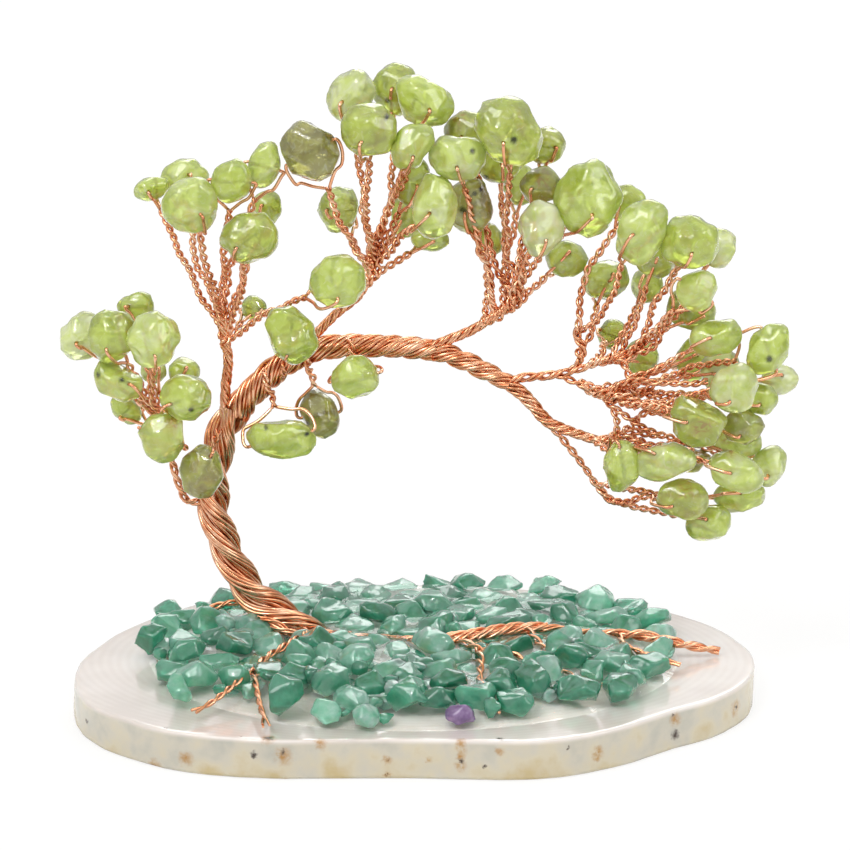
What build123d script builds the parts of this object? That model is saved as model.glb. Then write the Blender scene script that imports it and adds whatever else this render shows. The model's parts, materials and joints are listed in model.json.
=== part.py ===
from build123d import *

import math
import os
import random

import numpy as np

# Gemstone tree: a bonsai of twisted copper wire whose leaves are drilled peridot stones,
# rooted in clear resin among aventurine chips on a slice of agate.
# Millimetres, +Z up, +X to the tree's right, +Y away from the viewer.
# The origin is the middle of the slice's underside, and heights count from the slice's top.

# Agate slice
SLICE_LENGTH = 98.0
SLICE_DEPTH = 66.0
SLICE_THICKNESS = 5.8
SLICE_EDGE = 0.8  # rounding of the upper rim
# how far the natural rim stands out or in, every 22.5 degrees from +X
RIM_WAVES = (0.99, 0.98, 0.97, 0.965, 0.975, 0.985, 0.965, 0.935,
             0.965, 1.045, 1.105, 1.065, 0.985, 1.05, 0.995, 1.0)

# Resin bed
RESIN_THICKNESS = 0.8
RESIN_END_MARGIN = 10.0  # bare agate beyond the resin at the two ends
RESIN_SIDE_MARGIN = 2.5  # and at the front and back

# Copper wire
WIRE = 0.5  # diameter of one bare wire
BEND = 0.5  # centre-line radius where a wire turns out of a stone
NECK = 1.1  # length over which a loop's two legs come together
NECK_SPREAD = 0.2  # how far each leg enters the twist beside its middle
LOOP_TURN = 90.0  # a crowded stone's loop lies front to back, in degrees out of the tree's plane
LOOP_SWAY = 30.0  # give or take this much from stone to stone
RUN_THICKNESS = 1.2  # diameter of the short run that a spray's twigs leave
RING_STEPS = 3  # rings of a bough between two of its points

# Peridot stones
STONE_FACETS = 22
STONE_FLATNESS = 0.75  # thickness beside width
STONE_GAP = 0.2  # clear space round a stone
BORE_CLEARANCE = 0.06  # radial, round the wire
ROUGHNESS = (0.86, 1.0)  # how deep each facet of a stone is cut
GRAZE = 0.02  # least distance of a facet from a corner that it leaves

# Aventurine chips
CHIP_FACETS = 16
CHIP_PITCH = 5.5  # spacing of the scattered chips
CHIP_STRAY = 0.9  # how far a chip lies from its spot
CHIP_MARGIN = 2.0  # resin left bare round the chips
CHIP_LONG = (5.2, 7.6)
CHIP_WIDE = (4.2, 5.4)
CHIP_TALL = (3.4, 5.0)
CHIP_LEAST = 1.4  # a chip squeezed thinner than this is left out
CHIP_SEAT = 0.36  # share of a chip's height below its middle
CHIP_SPACING = 0.7  # least distance of a scattered chip from a hand-placed one, beside the pitch

SIDE, DEPTH, UP = np.eye(3)
GOLDEN_ANGLE = 137.508  # turn from one facet to the next
SEED = 7  # picks one natural variety of the stones

# Main stem from its foot, which the resin's surface cuts off, to its tip: x, y, height, diameter
TRUNK = [(-13.0, 4.5, -0.6, 6.2), (-16.8, 4.6, 2.8, 5.8), (-20.0, 5.0, 5.3, 5.4), (-23.5, 5.0, 8.6, 5.2),
         (-26.2, 5.0, 13.6, 4.9), (-28.0, 5.0, 19.0, 4.9), (-28.6, 5.0, 23.0, 5.2), (-28.3, 5.0, 27.0, 5.2),
         (-27.0, 5.0, 32.0, 4.9), (-25.0, 4.8, 35.3, 4.5)]
MAIN_BOUGH = [(-23.0, 4.5, 37.8, 4.2), (-20.5, 4.2, 40.5, 4.1), (-18.0, 4.0, 42.6, 4.0),
              (-14.5, 4.0, 44.4, 3.9), (-9.5, 4.0, 45.1, 3.6), (-3.0, 4.0, 45.0, 3.4), (3.0, 3.6, 44.5, 3.2)]
OUTER_BOUGH = [(6.5, 3.3, 43.4, 3.1), (10.0, 3.0, 41.7, 2.9), (13.5, 2.6, 39.9, 2.6)]
RIGHT_LOW_BRANCH = [(16.5, 2.3, 37.3, 2.2), (19.0, 2.0, 34.5, 2.0), (23.5, 2.0, 32.6, 1.6),
                    (26.0, 2.0, 31.9, 1.5), (28.5, 2.0, 32.2, 1.4)]

# Branches that leave it: points as above, and the pieces that they spring from
BRANCHES = {
    "left_branch": ([(-26.6, 4.8, 33.0, 2.0), (-26.5, 4.3, 38.0, 1.9), (-26.0, 4.0, 43.0, 1.8),
                     (-26.5, 4.0, 46.5, 1.8), (-27.0, 4.0, 49.0, 1.8)], ("trunk", "main_bough")),
    "left_low_branch": ([(-28.6, 4.6, 22.0, 1.4), (-32.0, 3.6, 22.4, 1.4), (-33.2, 3.2, 25.0, 1.4),
                         (-34.0, 3.0, 28.0, 1.4), (-34.7, 3.0, 31.0, 1.4),
                         (-35.5, 3.0, 34.0, 1.4)], ("trunk",)),
    "top_branch": ([(-16.0, 4.0, 43.8, 1.8), (-13.5, 4.0, 47.0, 1.7), (-10.5, 4.0, 50.0, 1.6),
                    (-8.0, 4.0, 52.0, 1.5), (-6.5, 4.0, 54.5, 1.5),
                    (-6.0, 4.0, 57.0, 1.5)], ("main_bough",)),
    "upper_right_branch": ([(1.5, 3.7, 44.6, 1.9), (5.0, 3.4, 46.2, 1.8), (8.0, 3.2, 47.5, 1.7),
                            (10.5, 3.0, 49.2, 1.7), (13.0, 3.0, 51.0, 1.6)], ("main_bough", "outer_bough")),
    "right_top_branch": ([(12.6, 2.7, 40.3, 1.9), (16.0, 2.4, 41.0, 1.8), (19.0, 2.2, 41.3, 1.7),
                          (23.0, 2.0, 42.2, 1.4), (26.0, 2.0, 43.4, 1.2),
                          (29.0, 2.0, 44.2, 1.2)], ("outer_bough", "right_low_branch")),
    "crown_branch": ([(22.0, 2.1, 42.0, 1.1), (23.6, 2.0, 44.0, 1.0), (23.6, 2.0, 45.5, 1.0),
                      (22.6, 2.0, 47.0, 1.0)], ("right_top_branch",)),
    "right_mid_branch": ([(20.0, 2.1, 41.5, 1.2), (23.0, 2.0, 40.2, 1.2), (25.5, 2.0, 39.0, 1.2),
                          (27.5, 2.0, 38.0, 1.2)], ("right_top_branch",)),
    "right_hanging_branch": ([(18.7, 2.0, 34.8, 1.2), (21.6, 2.0, 31.2, 1.2), (24.0, 2.0, 28.0, 1.1),
                              (26.0, 2.0, 25.0, 1.1), (28.0, 2.0, 23.0, 1.1)], ("right_low_branch",)),
}

# Roots, the same way; the short ones share a node
ROOTS = {
    "right_root": ([(-15.2, 4.4, 2.4, 2.2), (-10.0, 2.5, 2.0, 2.2), (-3.0, 1.0, 2.0, 2.2),
                    (3.0, -0.8, 2.9, 2.2), (9.0, 0.0, 3.6, 2.2), (14.0, 2.0, 3.8, 2.0),
                    (19.0, 3.5, 3.4, 1.9)], ("trunk",)),
    "far_right_root": ([(18.4, 3.4, 3.4, 1.6), (24.0, 3.5, 2.4, 1.6), (29.0, 2.0, 2.8, 1.6),
                        (33.0, 0.5, 3.2, 1.6), (37.5, -0.3, 2.4, 1.5), (40.8, 0.3, 1.5, 1.3),
                        (43.5, 0.8, 0.8, 1.1)], ("right_root",)),
    "front_root": ([(-17.0, 4.5, 3.0, 1.6), (-15.4, 0.0, 3.7, 1.6), (-17.5, -4.0, 3.7, 1.5),
                    (-20.0, -8.5, 3.7, 1.4), (-22.0, -14.0, 3.4, 1.3), (-21.3, -22.0, 2.2, 1.1),
                    (-20.3, -28.0, 1.5, 1.0), (-19.7, -31.5, 1.3, 0.9)], ("trunk",)),
    "side_root": ([(-21.8, -13.4, 3.4, 1.0), (-23.4, -16.0, 3.2, 1.0), (-25.5, -19.5, 2.6, 1.0),
                   (-27.8, -23.0, 1.9, 0.95), (-30.0, -25.3, 1.5, 0.9)], ("front_root",)),
    "centre_root": ([(5.5, -0.6, 3.1, 1.4), (9.0, -6.0, 3.5, 1.4), (9.3, -12.0, 3.2, 1.3),
                     (9.2, -16.0, 2.6, 1.2), (10.3, -21.0, 1.8, 1.1),
                     (11.2, -25.5, 1.4, 1.0)], ("right_root",)),
    "back_root": ([(-19.4, 5.4, 4.4, 1.4), (-22.0, 11.0, 3.7, 1.3), (-27.0, 14.5, 3.2, 1.2),
                   (-31.5, 12.0, 2.4, 1.1)], ("trunk",)),
    "loop_root": ([(29.4, 1.8, 2.8, 1.0), (29.8, -2.6, 2.9, 1.0), (33.5, -6.4, 2.6, 1.0),
                   (37.5, -7.6, 1.8, 0.9)], ("far_right_root",)),
    "hooked_root": ([(9.0, -6.4, 3.5, 0.9), (12.0, -6.2, 3.6, 0.9), (15.0, -8.0, 3.0, 0.9),
                     (15.6, -11.0, 2.2, 0.8)], ("centre_root",)),
    "branch_root": ([(16.0, 2.7, 3.6, 1.2), (18.5, -4.0, 2.6, 1.2), (19.5, -10.5, 2.6, 1.2),
                     (22.5, -14.0, 2.2, 1.1), (26.0, -16.0, 1.6, 1.0)], ("right_root",)),
}
SHORT_ROOTS = ("loop_root", "hooked_root", "branch_root")

# Sprays: the branch that ends in one, the far end of the run that its twigs leave,
# and its stones as x, y, height, length, width and lean from level in degrees
SPRAYS = {
    "left_low": ("left_low_branch", (-37.4, 3.0, 38.0), [
        (-46.5, 4, 46.5, 7.0, 6.0, 45), (-42.0, -1, 48.0, 7.5, 6.5, 80), (-39.0, 7, 50.0, 5.0, 4.0, 10),
        (-36.0, -4, 48.5, 8.0, 7.0, 80), (-41.0, -1, 41.5, 8.0, 5.5, -35), (-32.5, 7, 40.5, 5.0, 3.5, 0),
        (-36.5, 6, 41.0, 4.5, 3.5, 90), (-31.5, -4, 40.0, 7.5, 6.0, 0), (-35.0, -3, 34.0, 7.0, 6.5, 90),
        (-40.5, 5, 35.5, 5.0, 3.5, -40)]),
    "left_top": ("left_branch", (-26.4, 4.0, 52.0), [
        (-36.5, 5, 67.5, 5.5, 3.0, 20), (-32.0, 8, 68.5, 6.5, 5.0, 0), (-30.5, -2, 67.0, 8.0, 7.5, 60),
        (-20.5, 8, 64.0, 5.0, 4.0, 60), (-22.5, -3, 62.5, 8.0, 6.5, 10), (-22.5, 8, 49.5, 3.5, 3.0, 0)]),
    "top": ("top_branch", (-5.4, 4.0, 60.0), [
        (-8.5, 3, 81.0, 8.0, 6.0, 70), (-6.0, -3, 77.5, 8.0, 7.0, 0), (-2.5, 8, 81.0, 7.5, 6.0, 80),
        (1.5, 2, 80.5, 8.5, 6.0, -35), (0.0, -3, 75.5, 7.5, 5.0, 50), (-10.5, 9, 63.5, 7.0, 5.0, 80),
        (3.0, -3, 67.0, 10.0, 5.5, 85), (0.0, 5, 68.5, 7.5, 4.0, 80), (-1.0, 10, 62.5, 7.0, 4.0, 80),
        (2.5, 6, 60.0, 5.5, 3.0, 0)]),
    "upper_right": ("upper_right_branch", (15.5, 3.0, 53.6), [
        (6.0, -2, 73.5, 8.0, 6.5, 0), (7.5, 5, 75.5, 6.5, 6.0, 0), (8.0, 3, 65.5, 8.0, 6.0, 80),
        (12.0, 7, 70.5, 6.0, 5.5, 0), (13.0, -3, 77.5, 11.0, 8.0, -50), (18.5, 6, 73.5, 5.5, 4.5, 80),
        (15.0, 11, 66.5, 6.0, 4.5, 80), (10.5, 9, 59.0, 5.0, 3.5, 80), (17.5, 1, 69.0, 5.5, 5.0, 0),
        (17.5, -3, 64.0, 7.5, 6.0, 85), (24.0, -1, 67.5, 11.0, 8.5, 75), (21.5, 8, 56.5, 5.5, 5.0, 0)]),
    "crown": ("crown_branch", (23.2, 2.0, 49.5), [
        (27.0, 8, 53.5, 6.5, 5.5, 0), (29.5, 7, 65.0, 5.5, 5.0, 0), (31.5, -3, 63.5, 10.0, 6.5, 65)]),
    "right_top": ("right_top_branch", (33.0, 2.0, 45.4), [
        (34.0, 5, 57.5, 6.0, 5.5, 0), (38.0, -3, 62.0, 8.0, 7.0, 0), (42.5, 3, 59.5, 6.0, 4.5, 80),
        (33.0, 10, 52.5, 5.5, 4.5, 80), (39.0, 6, 50.0, 7.0, 6.0, 0), (28.0, 10, 45.0, 4.5, 3.5, 60),
        (32.5, 10, 41.5, 5.5, 4.5, 80)]),
    "right_mid": ("right_mid_branch", (32.0, 2.0, 38.6), [
        (42.0, -2, 48.0, 7.5, 5.0, 15), (39.5, 8, 42.0, 7.0, 4.5, 80), (43.0, 3, 42.0, 7.0, 5.5, 80),
        (51.5, 5, 40.0, 5.0, 4.5, 0), (44.5, -5, 41.5, 7.5, 6.0, 70), (48.5, 0, 38.5, 5.0, 4.5, 0),
        (39.5, -6, 37.5, 8.0, 7.5, 0), (46.0, -2, 35.0, 5.5, 4.5, 0)]),
    "right_low": ("right_low_branch", (31.2, 2.0, 33.2), [
        (45.5, 2, 31.5, 7.0, 5.0, 0), (50.0, 2, 28.0, 6.5, 4.5, 65), (45.0, -5, 29.5, 8.5, 5.0, -20),
        (29.0, -4, 30.0, 8.0, 4.5, 85), (35.0, -5, 31.0, 9.0, 5.0, 10), (39.0, 2, 30.0, 6.0, 5.5, 0)]),
    "right_hanging": ("right_hanging_branch", (30.6, 2.0, 22.8), [
        (46.0, 1, 24.0, 8.0, 4.5, 10), (37.5, -5, 25.5, 7.5, 5.5, -10), (41.5, -2, 21.0, 7.0, 5.0, 20)]),
}
SHARED_SPRAYS = {"right_hanging": "right_low"}  # a small spray that shares its neighbour's nodes

# Stones that turn freely on an open loop: the spray that the twig leaves, or a branch and a point of it,
# the stone as above, and the loop's turn out of the tree's plane in degrees
FREE_STONES = {
    "olive_stone": ("top", None, (-14.2, 0, 74.0, 9.5, 7.5, -60), 0),
    "left_crown_stone": ("left_top", None, (-25.0, -1, 70.0, 7.0, 5.5, 60), 0),
    "left_tip_stone": ("left_top", None, (-20.6, 2, 71.5, 7.5, 4.5, 80), 0),
    "heart_loop_stone": ("right_top", None, (39.0, -3, 55.0, 6.5, 5.5, 50), 0),
    "right_tip_stone": ("right_mid", None, (49.5, -1, 46.0, 8.5, 5.5, 65), 20),
    "teardrop_stone": ("trunk", (-28.2, 4.2, 31.5), (-29.5, -2.4, 28.6, 8.0, 6.0, 80), 90),
    "big_round_stone": ("left_branch", (-26.4, 4.0, 46.0), (-10.5, -2, 56.0, 8.0, 7.5, 30), 60),
    "front_stone": ("main_bough", (-8.6, 4.0, 45.1), (-8.0, -2.6, 42.4, 7.0, 6.0, 0), 0),
    "hanging_long_stone": ("main_bough", (-20.6, 4.2, 40.4), (-18.6, -0.5, 32.8, 10.5, 5.5, -5), 0),
    "hanging_grey_stone": ("main_bough", (-14.8, 4.2, 44.0), (-13.2, 5.5, 34.5, 7.5, 5.5, -70), 0),
}
# A stone held fast between its neighbours on a twig of its own
FIXED_STONES = {
    "slanted_stone": ("main_bough", (-18.2, 4.0, 42.4), (-17.0, -2, 48.5, 9.0, 6.0, -60), 90),
}

# Chips of the bed that show at the front: x, y, length, width, height and turn in degrees
SHOWN_CHIPS = [
    (-35.5, 13.0, 5.0, 4.5, 5.5, 10), (-36.6, 0.0, 4.6, 4.0, 5.0, 80), (-32.0, -4.5, 6.0, 4.5, 4.0, 0),
    (-32.0, -19.0, 5.6, 4.0, 3.0, 10), (-16.6, -17.5, 5.6, 4.6, 5.0, 60), (-11.6, -19.0, 6.0, 5.2, 5.4, 20),
    (-8.0, -11.5, 6.4, 5.0, 5.2, 70), (-12.0, -26.5, 5.6, 3.6, 2.8, 5), (-6.6, -28.0, 4.4, 3.8, 3.4, 40),
    (-0.6, -22.6, 8.0, 5.2, 4.4, -25), (16.6, -17.6, 5.6, 5.0, 5.0, 15), (30.6, -15.0, 5.4, 4.4, 4.0, -20),
    (34.2, -3.0, 6.6, 3.2, 3.6, -10), (34.0, 9.0, 6.4, 4.6, 4.6, -15), (26.0, 16.0, 5.4, 5.0, 6.2, 30)]
AMETHYST = (6.4, -27.4, 4.6, 3.4, 3.0, 15)


def spot(x, y, height):
    return np.array((x, y, SLICE_THICKNESS + height))


# Round pieces

def smooth(rows):
    # a smooth line through the rows, each of them a point and a diameter
    ends = [rows[0], *rows, rows[-1]]
    line = []
    for before, start, end, after in zip(ends, ends[1:], ends[2:], ends[3:]):
        for step in range(RING_STEPS):
            t = step / RING_STEPS
            line.append(tuple(
                q + 0.5 * t * ((r - p) + t * (2 * p - 5 * q + 4 * r - s + t * (3 * q - p - 3 * r + s)))
                for p, q, r, s in zip(before, start, end, after)))
    line.append(rows[-1])
    return line


def rings(rows, steady):
    # the round sections of a bough, square to its line
    line = smooth(rows)
    found = []
    for index, (x, y, height, diameter) in enumerate(line):
        behind = spot(*line[max(index - 1, 0)][:3])
        ahead = spot(*line[min(index + 1, len(line) - 1)][:3])
        plane = Plane(Vector(*spot(x, y, height)), x_dir=Vector(*steady), z_dir=Vector(*(ahead - behind)))
        found.append(plane * Circle(diameter / 2))
    return found


def tube(sections):
    return loft(sections, ruled=True)


def runs(rows):
    # the straight runs of a bough with their radius, for keeping stones clear of it
    line = smooth(rows)
    return [(spot(*a[:3]), spot(*b[:3]), max(a[3], b[3]) / 2) for a, b in zip(line, line[1:])]


def rod(start, end, radius):
    plane = Plane(Vector(*start), z_dir=Vector(*(end - start)))
    length = np.linalg.norm(end - start)
    return plane * Cylinder(radius, length, align=(Align.CENTER, Align.CENTER, Align.MIN))


# Stones: convex solids kept as lists of faces, each an array of its corners

def clip(faces, point, normal):
    # what lies behind a plane; one that grazes a corner moves in, so that it leaves no sliver
    level = point @ normal
    while abs(np.concatenate(faces) @ normal - level).min() < GRAZE:
        level -= GRAZE
    kept = []
    rim = {}
    for face in faces:
        depths = face @ normal - level
        if depths.max() <= 0:
            kept.append(face)
            continue
        inside = []
        for index, corner in enumerate(face):
            after = (index + 1) % len(face)
            if depths[index] <= 0:
                inside.append(corner)
            if (depths[index] <= 0) != (depths[after] <= 0):
                cut = corner + (face[after] - corner) * depths[index] / (depths[index] - depths[after])
                inside.append(cut)
                rim[tuple(cut.round(6))] = cut
        if len(inside) > 2:
            kept.append(np.array(inside))
    if len(rim) > 2:
        corners = np.array(list(rim.values()))
        spokes = corners - corners.mean(axis=0)
        across = unit(spokes[0])
        turns = np.arctan2(spokes @ np.cross(normal, across), spokes @ across)
        kept.append(corners[turns.argsort()])
    return kept


def unit(vector):
    return vector / np.linalg.norm(vector)


def reach(faces, centre, direction):
    return (np.concatenate(faces) @ direction).max() - centre @ direction


def middle_of(faces):
    # centre of mass, from the tetrahedra between one corner and every face
    tip = faces[0][0]
    volume = 0
    moment = np.zeros(3)
    for face in faces:
        for second, third in zip(face[1:], face[2:]):
            part = abs(np.linalg.det([face[0] - tip, second - tip, third - tip]))
            volume += part
            moment += part * (tip + face[0] + second + third) / 4
    return moment / volume


def facet_normals(count, spin):
    for index in range(count):
        rise = 1 - (2 * index + 1) / count
        angle = math.radians(spin + index * GOLDEN_ANGLE)
        level = math.sqrt(1 - rise * rise)
        yield np.array((level * math.cos(angle), level * math.sin(angle), rise))


def block(centre, half):
    # the faces of a cube
    square = ((-half, -half), (half, -half), (half, half), (-half, half))
    faces = []
    for axis in range(3):
        for side in (-half, half):
            face = np.array([(side, y, z) for y, z in square])
            faces.append(centre + np.roll(face, axis, axis=1))
    return faces


def tumbled(centre, sizes, axes, facets, draw):
    # a worn stone: an ellipsoid of those sizes along those axes, cut by uneven facets
    faces = block(centre, max(sizes))
    for normal in facet_normals(facets, draw.uniform(0, 360)):
        depth = np.linalg.norm(normal * sizes) / 2 * draw.uniform(*ROUGHNESS)
        faces = clip(faces, centre + normal @ axes * depth, normal @ axes)
    return {"centre": centre, "sizes": sizes, "axes": axes, "faces": faces}


def part_stones(first, second):
    # cut two stones that run into each other back to a gap, along the axis that costs least
    between = second["centre"] - first["centre"]
    best = None
    for axis in (unit(between), *first["axes"], *second["axes"]):
        normal = axis if axis @ between > 0 else -axis
        near = reach(first["faces"], first["centre"], normal)
        far = reach(second["faces"], second["centre"], -normal)
        excess = near + far + STONE_GAP - between @ normal
        if best is None or excess < best[0]:
            best = (excess, normal, near, far)
    excess, normal, near, far = best
    if excess > 0:
        room = between @ normal - STONE_GAP
        share = room * near / (near + far)
        first["faces"] = clip(first["faces"], first["centre"] + normal * share, normal)
        second["faces"] = clip(second["faces"], second["centre"] - normal * (room - share), -normal)


def part_all(stones):
    for index, first in enumerate(stones):
        for second in stones[:index]:
            apart = np.linalg.norm(first["centre"] - second["centre"])
            if apart < max(first["sizes"]) + max(second["sizes"]):
                part_stones(second, first)


def keep_clear(stone, lines):
    # cut a stone back from wires that pass it
    centre = stone["centre"]
    for start, end, radius in lines:
        along = end - start
        share = min(max((centre - start) @ along / (along @ along), 0), 1)
        away = start + along * share - centre
        room = np.linalg.norm(away) - radius - STONE_GAP
        if room < max(stone["sizes"]) and reach(stone["faces"], centre, unit(away)) > room:
            stone["faces"] = clip(stone["faces"], centre + unit(away) * room, unit(away))


def solid_of(faces):
    return Solid(Shell([Face(Wire.make_polygon([Vector(*corner) for corner in face])) for face in faces]))


# Peridot stones and their twigs

def peridot(row, base, turn, free, draw):
    x, y, height, length, width, lean = row
    angle = math.radians(lean)
    along = SIDE * math.cos(angle) + UP * math.sin(angle)
    axes = np.array((along, np.cross(along, DEPTH), DEPTH))
    stone = tumbled(spot(x, y, height), (length, width, width * STONE_FLATNESS), axes, STONE_FACETS, draw)
    return {**stone, "base": base, "turn": turn, "free": free}


def thread(stone):
    # lay the wire loop that carries a stone: through its middle, down both sides and into the twist
    faces = stone["faces"]
    centre = middle_of(faces)
    down = unit(stone["base"] - centre)
    side = unit(np.cross(down, DEPTH))
    angle = math.radians(stone["turn"])
    across = side * math.cos(angle) + np.cross(down, side) * math.sin(angle)
    room = STONE_GAP + WIRE / 2
    left = across * (reach(faces, centre, across) + room)
    right = -across * (reach(faces, centre, -across) + room)
    drop = reach(faces, centre, down)
    if stone["free"]:
        drop = np.linalg.norm(np.cross(np.concatenate(faces) - centre, across), axis=1).max()
    knee = down * (drop + room)
    join = centre + knee + down * NECK
    inner = join + down * WIRE
    spread = across * NECK_SPREAD
    bore_ends = [centre + left, centre + right]
    path = [inner + spread, bore_ends[0] + knee, *bore_ends, bore_ends[1] + knee, inner - spread]
    stone.update(centre=centre, across=across, join=join, path=path)


def wire_runs(stone):
    path = stone["path"]
    loop = [(start, end, WIRE / 2) for start, end in zip(path, path[1:])]
    return [*loop, (stone["join"], stone["base"], WIRE)]


def twig(stone):
    path = FilletPolyline(*(Vector(*point) for point in stone["path"]), radius=BEND)
    loop = sweep(Plane(path @ 0, z_dir=path % 0) * Circle(WIRE / 2), path=path)
    return [loop, rod(stone["base"], stone["join"], WIRE)]


def drilled(stone):
    half = stone["across"] * max(stone["sizes"])
    bore = rod(stone["centre"] - half, stone["centre"] + half, WIRE / 2 + BORE_CLEARANCE)
    return (solid_of(stone["faces"]) - bore).solid()


def along_run(rows, start, end):
    # the stones of a spray in their order along its run, each with its own starting point
    axis = end - start
    order = sorted(rows, key=lambda row: (spot(*row[:3]) - start) @ axis)
    return [(row, start + axis * (index + 0.5) / len(order)) for index, row in enumerate(order)]


# Aventurine chips of the bed

def chip(row, draw):
    x, y, length, width, tall, turn = row
    angle = math.radians(turn)
    along = SIDE * math.cos(angle) + DEPTH * math.sin(angle)
    axes = np.array((along, np.cross(UP, along), UP))
    middle = spot(x, y, RESIN_THICKNESS + tall * CHIP_SEAT)
    stone = tumbled(middle, (length, width, tall), axes, CHIP_FACETS, draw)
    stone["faces"] = clip(stone["faces"], spot(x, y, RESIN_THICKNESS), -UP)
    return stone


def scattered_chips(draw):
    # rows of chips over the resin, each strayed from its spot, where no hand-placed chip lies
    half_length = SLICE_LENGTH / 2 - RESIN_END_MARGIN - CHIP_MARGIN
    half_depth = SLICE_DEPTH / 2 - RESIN_SIDE_MARGIN - CHIP_MARGIN
    row_step = CHIP_PITCH * math.sqrt(3) / 2
    rows = []
    for row in range(-int(half_depth / row_step), int(half_depth / row_step) + 1):
        for column in range(-int(half_length / CHIP_PITCH) - 1, int(half_length / CHIP_PITCH) + 1):
            x = (column + 0.5 * (row % 2)) * CHIP_PITCH + draw.uniform(-CHIP_STRAY, CHIP_STRAY)
            y = row * row_step + draw.uniform(-CHIP_STRAY, CHIP_STRAY)
            sizes = (draw.uniform(*CHIP_LONG), draw.uniform(*CHIP_WIDE), draw.uniform(*CHIP_TALL))
            turn = draw.uniform(0, 180)
            inside = math.hypot(x / half_length, y / half_depth) < 1
            nearest = min(math.hypot(x - other[0], y - other[1]) for other in (*SHOWN_CHIPS, AMETHYST))
            if inside and nearest > CHIP_PITCH * CHIP_SPACING:
                rows.append((x, y, *sizes, turn))
    return rows


def span(stone, direction):
    depths = np.concatenate(stone["faces"]) @ direction
    return depths.max() - depths.min()


# Agate slice and resin bed

def pebble_outline(length, depth):
    points = []
    for index, wave in enumerate(RIM_WAVES):
        angle = 2 * math.pi * index / len(RIM_WAVES)
        points.append((length / 2 * wave * math.cos(angle), depth / 2 * wave * math.sin(angle)))
    return make_face(Spline(*points, periodic=True))


def agate_slice():
    blank = extrude(pebble_outline(SLICE_LENGTH, SLICE_DEPTH), SLICE_THICKNESS)
    return fillet(blank.edges().group_by(Axis.Z)[-1], SLICE_EDGE)


def resin_bed():
    pool = pebble_outline(SLICE_LENGTH - 2 * RESIN_END_MARGIN, SLICE_DEPTH - 2 * RESIN_SIDE_MARGIN)
    return Pos(0, 0, SLICE_THICKNESS) * extrude(pool, RESIN_THICKNESS)


# Assembly

nodes = {"agate_slice": agate_slice(), "resin_bed": resin_bed()}

# The main stem is one line of rings, cut into its four pieces at the forks
stem_parts = {"trunk": TRUNK, "main_bough": MAIN_BOUGH, "outer_bough": OUTER_BOUGH}
stem_parts["right_low_branch"] = RIGHT_LOW_BRANCH
stem_rows = [row for rows in stem_parts.values() for row in rows]
stem_rings = rings(stem_rows, DEPTH)
first_ring = 0
last_row = -1
for name, rows in stem_parts.items():
    last_row += len(rows)
    last_ring = last_row * RING_STEPS
    nodes[name] = tube(stem_rings[first_ring:last_ring + 1])
    first_ring = last_ring
resin_top = Plane.XY.offset(SLICE_THICKNESS + RESIN_THICKNESS)
nodes["trunk"] = split(nodes["trunk"], bisect_by=resin_top, keep=Keep.TOP)

for name, (rows, parents) in BRANCHES.items():
    nodes[name] = tube(rings(rows, DEPTH)) - [nodes[parent] for parent in parents]
root_solids = {}
for name, (rows, parents) in ROOTS.items():
    carriers = [root_solids.get(parent) or nodes[parent] for parent in parents]
    root_solids[name] = tube(rings(rows, UP)) - carriers

bough_runs = runs(stem_rows)
for rows, parents in BRANCHES.values():
    bough_runs += runs(rows)
root_runs = [run for rows, parents in ROOTS.values() for run in runs(rows)]

# Every peridot stone, rough, with the point that its twig starts from
draw = random.Random(SEED)
sprays = {}
for spray, (branch, run_end, rows) in SPRAYS.items():
    end = spot(*run_end)
    start = spot(*(BRANCHES[branch][0] if branch in BRANCHES else stem_parts[branch])[-1][:3])
    free_rows = {free[2]: name for name, free in FREE_STONES.items() if free[0] == spray}
    sprays[spray] = {"start": start, "end": end, "branch": branch, "stones": {}}
    for index, (row, base) in enumerate(along_run([*rows, *free_rows], start, end)):
        name = free_rows.get(row, f"{spray}_{index}")
        turn = FREE_STONES[name][3] if name in FREE_STONES else LOOP_TURN + LOOP_SWAY * math.sin(index)
        sprays[spray]["stones"][name] = peridot(row, base, turn, name in FREE_STONES, draw)
own_twigs = {}
for name, (parent, point, row, turn) in {**FREE_STONES, **FIXED_STONES}.items():
    if point:
        own_twigs[name] = peridot(row, spot(*point), turn, name in FREE_STONES, draw)
        own_twigs[name]["parent"] = parent
stones = {name: stone for spray in sprays.values() for name, stone in spray["stones"].items()}
stones.update(own_twigs)

# Clear of each other, then of the boughs, then threaded, then clear of the other stones' wires
part_all(list(stones.values()))
for stone in stones.values():
    keep_clear(stone, bough_runs)
for stone in stones.values():
    thread(stone)
spray_runs = [(spray["start"], spray["end"], RUN_THICKNESS / 2) for spray in sprays.values()]
for name, stone in stones.items():
    others = [run for other, carrier in stones.items() if other != name for run in wire_runs(carrier)]
    keep_clear(stone, [*others, *spray_runs])

# Twigs of a spray leave one short run of wire; the other twigs spring from their bough
for spray, parts in sprays.items():
    shared = SHARED_SPRAYS.get(spray, spray)
    wires = [piece for stone in parts["stones"].values() for piece in twig(stone)]
    bunch = rod(parts["start"], parts["end"], RUN_THICKNESS / 2) + wires - nodes[parts["branch"]]
    nodes.setdefault(f"{shared}_twigs", []).extend(bunch.solids())
    group = [drilled(stone) for name, stone in parts["stones"].items() if not stone["free"]]
    nodes.setdefault(f"{shared}_stones", []).extend(group)
for name, stone in own_twigs.items():
    loop, stalk = twig(stone)
    nodes[name.replace("_stone", "_twig")] = loop + stalk - nodes[stone["parent"]]
for name in (*FREE_STONES, *FIXED_STONES):
    nodes[name] = drilled(stones[name])

for name, solid in root_solids.items():
    if name in SHORT_ROOTS:
        nodes.setdefault("short_roots", []).extend(solid.solids())
    else:
        nodes[name] = solid

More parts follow.
